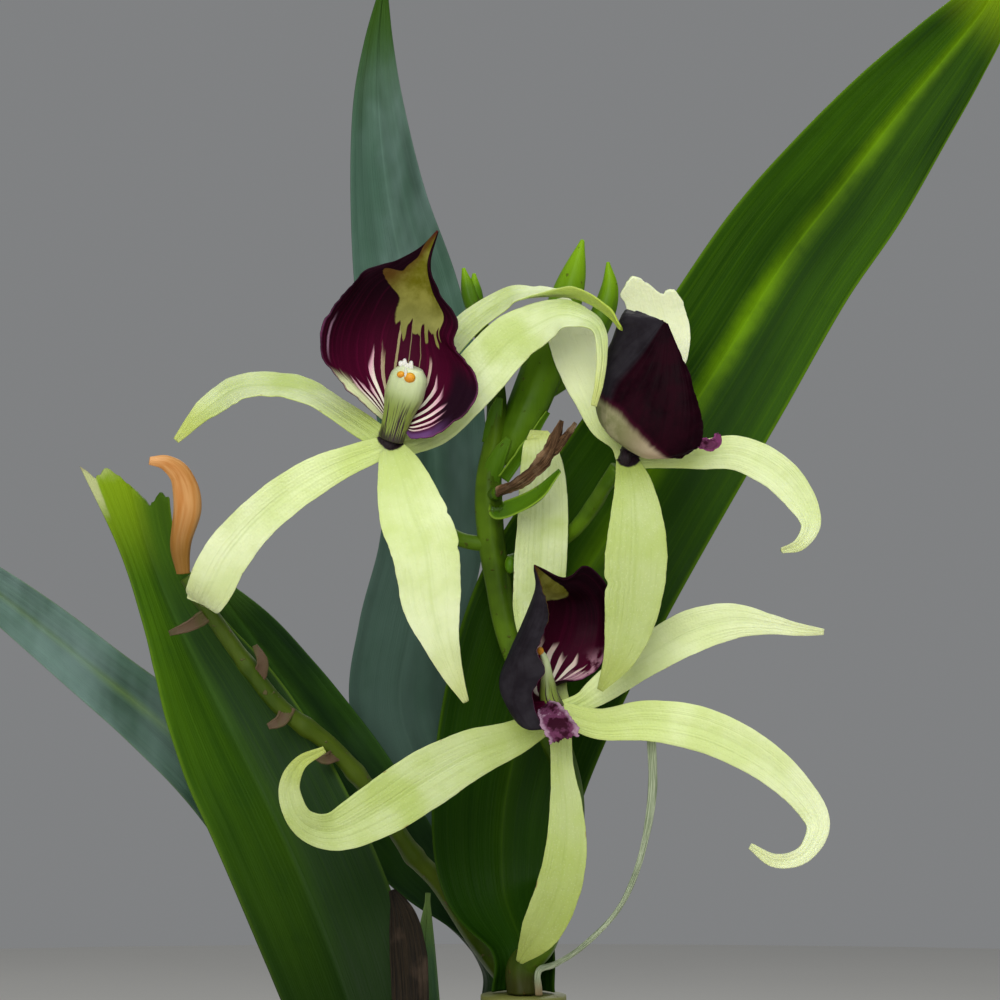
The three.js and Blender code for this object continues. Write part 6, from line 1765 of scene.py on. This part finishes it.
class ORCHID_OT_columns(bpy.types.Operator):
    """Set the column in each bloom, with its orange anther cap and pale teeth"""

    bl_idname = "orchid.columns"
    bl_label = "Columns"

    def execute(self, context):
        finish = column_finish()
        for name, bloom in BLOOMS.items():
            skins = self.slender(bloom) if name == "low" else self.capped(bloom, 0.2 * (name == "left"))
            make_piece(f"{name}_bloom_column", skins, finish, "column", f"bloom_{name}_column")
        return {"FINISHED"}

    def hollow(self, t, turn):
        """The ring of a column: hollowed in front, and a little flat."""
        return 1 - 0.1 * bump_at(np.sin(turn), 1, 0.3) + 0.05 * np.cos(2 * turn)

    def slender(self, bloom):
        """The low bloom's column, seen from its side, with a yellow grain on its tip."""
        face = bloom_axes(bloom)[2]
        grain = pebble(viewed([SLENDER_TIP])[0], [0.5, 0.45, 0.6], seed=2, rough=0.08, tone=0.6)
        return [stem(viewed(SLENDER), 80, 30, beyond=face, shape=self.hollow, tone=0), grain]

    def capped(self, bloom, swell):
        """A column, stouter by `swell` in its middle: two orange lobes, a beak between them, four teeth."""
        up, side, face, hub = bloom_axes(bloom)
        rows = in_bloom(bloom, bloom["column"])
        rows[0] = [*(hub + up * 0.9 + face * 0.5), rows[0, 3] * 1.2]
        stout = lambda t, turn: self.hollow(t, turn) * (1 + swell * bump_at(t, 0.34, 0.2))
        skins = [stem(rows, 80, 36, beyond=face, shape=stout, tone=0)]
        high, across, forward, wide = bloom["column"][-2]
        size = wide / 2.6

        def at(h, a, f):
            return hub + up * (high + h * size) + side * (across + a * size) + face * (forward + f * size)

        for a, big in ((-0.85, 0.62), (0.55, 0.9)):
            lobe = np.array([0.95, 0.75, 0.85]) * big * size
            skins.append(pebble(at(-0.1, a, 1.9), lobe, seed=3, rough=0.06, tone=0.6))
        beak = np.array([0.2, 0.3, 0.9]) * size
        skins.append(pebble(at(0.2, -0.15, 2.2), beak, seed=1, rough=0.1, tone=1))
        for i, a in enumerate((-1.6, -1.1, -0.6, -0.1)):
            tall = i % 2
            tooth = np.array([0.34, 0.34, 0.5 + 0.2 * tall]) * size
            place = at(1.35 + 0.3 * tall, a, 1.0)
            skins.append(pebble(place, tooth, seed=i, rings=14, sides=22, rough=0.22, tone=1))
        return skins


# Stems
def upright_foot(bulb, radius):
    """Two rows that stand a stem on the neck of its bulb."""
    (x, y), top = BULBS[bulb]["neck"], BULBS[bulb]["top"]
    return [[x, y, top + GAP, radius], [x, y, top + GAP + 4, radius]]


def small_bract(rows, seed, thick=0.45, **marks):
    """A bract: a small blade, ribbed and a little crumpled."""
    crumple = lambda t, s: 0.08 * np.cos(5 * math.pi * s) + 0.15 * sway(8 * t, seed) * s**2
    return blade(seen(rows), 40, 16, thick, relief=crumple, **marks)


class ORCHID_OT_flower_stem(bpy.types.Operator):
    """Raise the flower stem with its pedicels, bracts, buds and the stub of a flower"""

    bl_idname = "orchid.flower_stem"
    bl_label = "Flower stem"

    def execute(self, context):
        growth = context.scene.orchid_growth
        swell = lambda t, turn: 1 + 0.05 * np.cos(5 * turn + 6 * t) + 0.06 * sway(20 * t, 2)
        skins = [stem([*upright_foot("front", 2.3), *seen(RACHIS)], 240, 28, shape=swell, tone=0)]
        for name, rows in PEDICELS.items():
            spine = seen(rows)
            hub = bloom_axes(BLOOMS[name])[3]
            last = hub - unit(hub - spine[-1, :3]) * HUB_TOP
            ridged = lambda t, turn: 1 + 0.09 * np.cos(3 * turn) * part_of(t, 0.3, 0.9)
            skins.append(stem(np.vstack([spine, [*last, 1.3]]), 80, 24, shape=ridged, tone=0.25))
        for i, rows in enumerate(BUDS):
            seam = lambda turn, i=i: 0.16 * bump_at(np.cos(1.5 * turn + i), 0, 0.16)
            seams = lambda t, turn, seam=seam: 1 - seam(turn) * np.sin(math.pi * t)
            skins.append(stem(seen(rows), 90, 30, shape=seams, tone=0.45 + 0.1 * i))
        for i, rows in enumerate(BRACTS):
            skins.append(small_bract(rows, i, tone=0.8, extra=0.0))
        skins.append(stem(seen(STUB), 20, 16, tone=0.3))
        skins.append(pebble(viewed([[510, 565, 1]])[0], [0.8, 0.8, 1.3], seed=1, rough=0.06, tone=1))
        finish = stem_finish("flower stem", growth.stem, "5c7c12", "4a3c18")
        make_piece("flowering_stem", skins, finish, "stem_green", "flower_stem")
        return {"FINISHED"}


class ORCHID_OT_withered_bloom(bpy.types.Operator):
    """Hang the withered bloom: two shrivelled, twisted strands"""

    bl_idname = "orchid.withered_bloom"
    bl_label = "Withered bloom"

    def execute(self, context):
        skins = []
        for i, rows in enumerate(WITHERED):
            folds = lambda t, turn, i: 0.2 * np.cos(3 * turn + 9 * t + i) + 0.08 * np.cos(8 * turn - 5 * t)
            twist = lambda t, turn, i=i: 0.7 + folds(t, turn, i) + 0.12 * sway(24 * t, i)
            skins.append(stem(seen(rows), 90, 28, shape=twist, tone=0))
        brown = dry_finish("withered", "3a2412", "7e5e40", "b89a78")
        make_piece("withered_flower", skins, brown, "dry", "withered_bloom")
        return {"FINISHED"}


class ORCHID_OT_strand(bpy.types.Operator):
    """Arch the loose strand of sheath behind the lowest bloom"""

    bl_idname = "orchid.strand"
    bl_label = "Loose strand"

    def execute(self, context):
        (x, y), top = BULBS["front"]["neck"], BULBS["front"]["top"]
        rows = np.vstack([[x + 2.3, y - 2.6, top + GAP, 0.5], seen(STRAND)])
        ribbon = lambda t, turn: 1 + 0.12 * np.cos(2 * turn + 7 * t) + 0.08 * sway(30 * t, 5)
        skins = [stem(rows, 140, 14, flat=0.7, shape=ribbon)]
        make_piece("loose_strand", skins, strand_finish(), "strand", "sheath_strand")
        return {"FINISHED"}


class ORCHID_OT_old_stem(bpy.types.Operator):
    """Lean last season's stem with its dried bracts, and hook the orange bud on its tip"""

    bl_idname = "orchid.old_stem"
    bl_label = "Old stem and bud"

    def execute(self, context):
        growth = context.scene.orchid_growth
        joints = (0.45, 0.58, 0.68, 0.8, 0.93)
        swell = lambda t, turn: 1 + sum(0.18 * bump_at(t, j, 0.012) for j in joints) + 0.04 * np.cos(6 * turn)
        skins = [stem([*upright_foot("back", 1.7), *seen(SPENT)], 220, 24, shape=swell, tone=0)]
        for i, rows in enumerate(DRIED_BRACTS):
            skins.append(small_bract(rows, i + 7, extra=1.0))
        finish = stem_finish("old stem", growth.old_stem, "4a5c12", "5c4a38")
        make_piece("old_stem", skins, finish, "stem_green", "spent_stem")
        wrinkle = lambda t, turn: 1 + 0.03 * np.cos(5 * turn + 5 * t) + 0.04 * sway(9 * t, 6)
        bud = stem(seen(WITHERED_BUD), 130, 32, flat=0.6, shape=wrinkle)
        make_piece("orange_bud", [bud], orange_finish(), "orange", "withered_bud")
        return {"FINISHED"}


# Stage
class ORCHID_OT_stage(bpy.types.Operator):
    """Lay the plain pale floor, and set up the soft studio light and the camera"""

    bl_idname = "orchid.stage"
    bl_label = "Stage"

    def execute(self, context):
        scene = context.scene
        stage = scene.orchid_stage
        floor_mesh = bpy.data.meshes.new("floor")
        turn = full_turn(FLOOR_SIDES)
        rim = np.stack([np.cos(turn), np.sin(turn), 0 * turn], -1) * stage.floor_radius
        floor_mesh.from_pydata((rim - [0, 0, FLOOR_SINK]).tolist(), [], [list(range(FLOOR_SIDES))])
        floor = bpy.data.objects.new("floor", floor_mesh)
        floor_mesh.materials.append(floor_finish(stage))
        scene.collection.objects.link(floor)
        aim = Vector((0, 0, 0.22))
        for name, place, size, power, tint in (
            ("key light", (-0.16, -1.02, 0.6), 0.6, stage.key, (1.0, 0.99, 0.96)),
            ("fill light", (0.1, -0.5, 1.12), 0.8, stage.fill, (0.95, 0.98, 1.0)),
            ("back light", (0.25, 0.9, 0.95), 0.8, stage.back, (1.0, 1.0, 0.96)),
        ):
            lamp = bpy.data.lights.new(name, "AREA")
            lamp.size, lamp.energy, lamp.color = size, power, tint
            body = bpy.data.objects.new(name, lamp)
            body.location = place
            body.rotation_euler = (aim - Vector(place)).to_track_quat("-Z", "Y").to_euler()
            scene.collection.objects.link(body)
        world = bpy.data.worlds.new("studio")
        world.use_nodes = True
        sky = world.node_tree.nodes["Background"]
        sky.inputs["Color"].default_value = (0.86, 0.88, 0.9, 1.0)
        sky.inputs["Strength"].default_value = stage.sky
        scene.world = world
        scene.view_settings.view_transform = "Standard"
        view = bpy.data.cameras.new("camera")
        view.lens, view.sensor_width = stage.lens, SENSOR_WIDTH
        camera = bpy.data.objects.new("camera", view)
        camera.location = (0, -SIGHT * MM, SPRAY_HEIGHT * MM)
        camera.rotation_euler = (math.pi / 2, 0, 0)
        scene.collection.objects.link(camera)
        scene.camera = camera
        return {"FINISHED"}


# Sidebar
STEPS = (
    ORCHID_OT_stage, ORCHID_OT_pot, ORCHID_OT_bark, ORCHID_OT_roots, ORCHID_OT_bulbs, ORCHID_OT_leaves,
    ORCHID_OT_young_growth, ORCHID_OT_tepals, ORCHID_OT_lips, ORCHID_OT_columns, ORCHID_OT_flower_stem,
    ORCHID_OT_withered_bloom, ORCHID_OT_strand, ORCHID_OT_old_stem,
)
GROUPS = {
    "orchid_pot": OrchidPot, "orchid_growth": OrchidGrowth, "orchid_bloom": OrchidBloom,
    "orchid_stage": OrchidStage,
}


class ORCHID_PT_sidebar(bpy.types.Panel):
    """Sizes and colours of the orchid, and a button for each piece"""

    bl_idname = "ORCHID_PT_sidebar"
    bl_label = "Potted Encyclia Orchid"
    bl_space_type = "VIEW_3D"
    bl_region_type = "UI"
    bl_category = "Orchid"

    def draw(self, context):
        for key, group in GROUPS.items():
            box = self.layout.box()
            box.label(text=key.replace("orchid_", "").capitalize())
            for name in group.__annotations__:
                box.prop(getattr(context.scene, key), name)
        column = self.layout.column(align=True)
        for step in STEPS:
            column.operator(step.bl_idname, text=step.bl_label)


def register():
    for group in (*GROUPS.values(), *STEPS, ORCHID_PT_sidebar):
        bpy.utils.register_class(group)
    for key, group in GROUPS.items():
        setattr(bpy.types.Scene, key, bpy.props.PointerProperty(type=group))


def unregister():
    for key in GROUPS:
        delattr(bpy.types.Scene, key)
    for group in reversed((*GROUPS.values(), *STEPS, ORCHID_PT_sidebar)):
        bpy.utils.unregister_class(group)


def main():
    register()
    for step in STEPS:
        group, name = step.bl_idname.split(".")
        getattr(getattr(bpy.ops, group), name)()


if __name__ == "__main__":
    main()
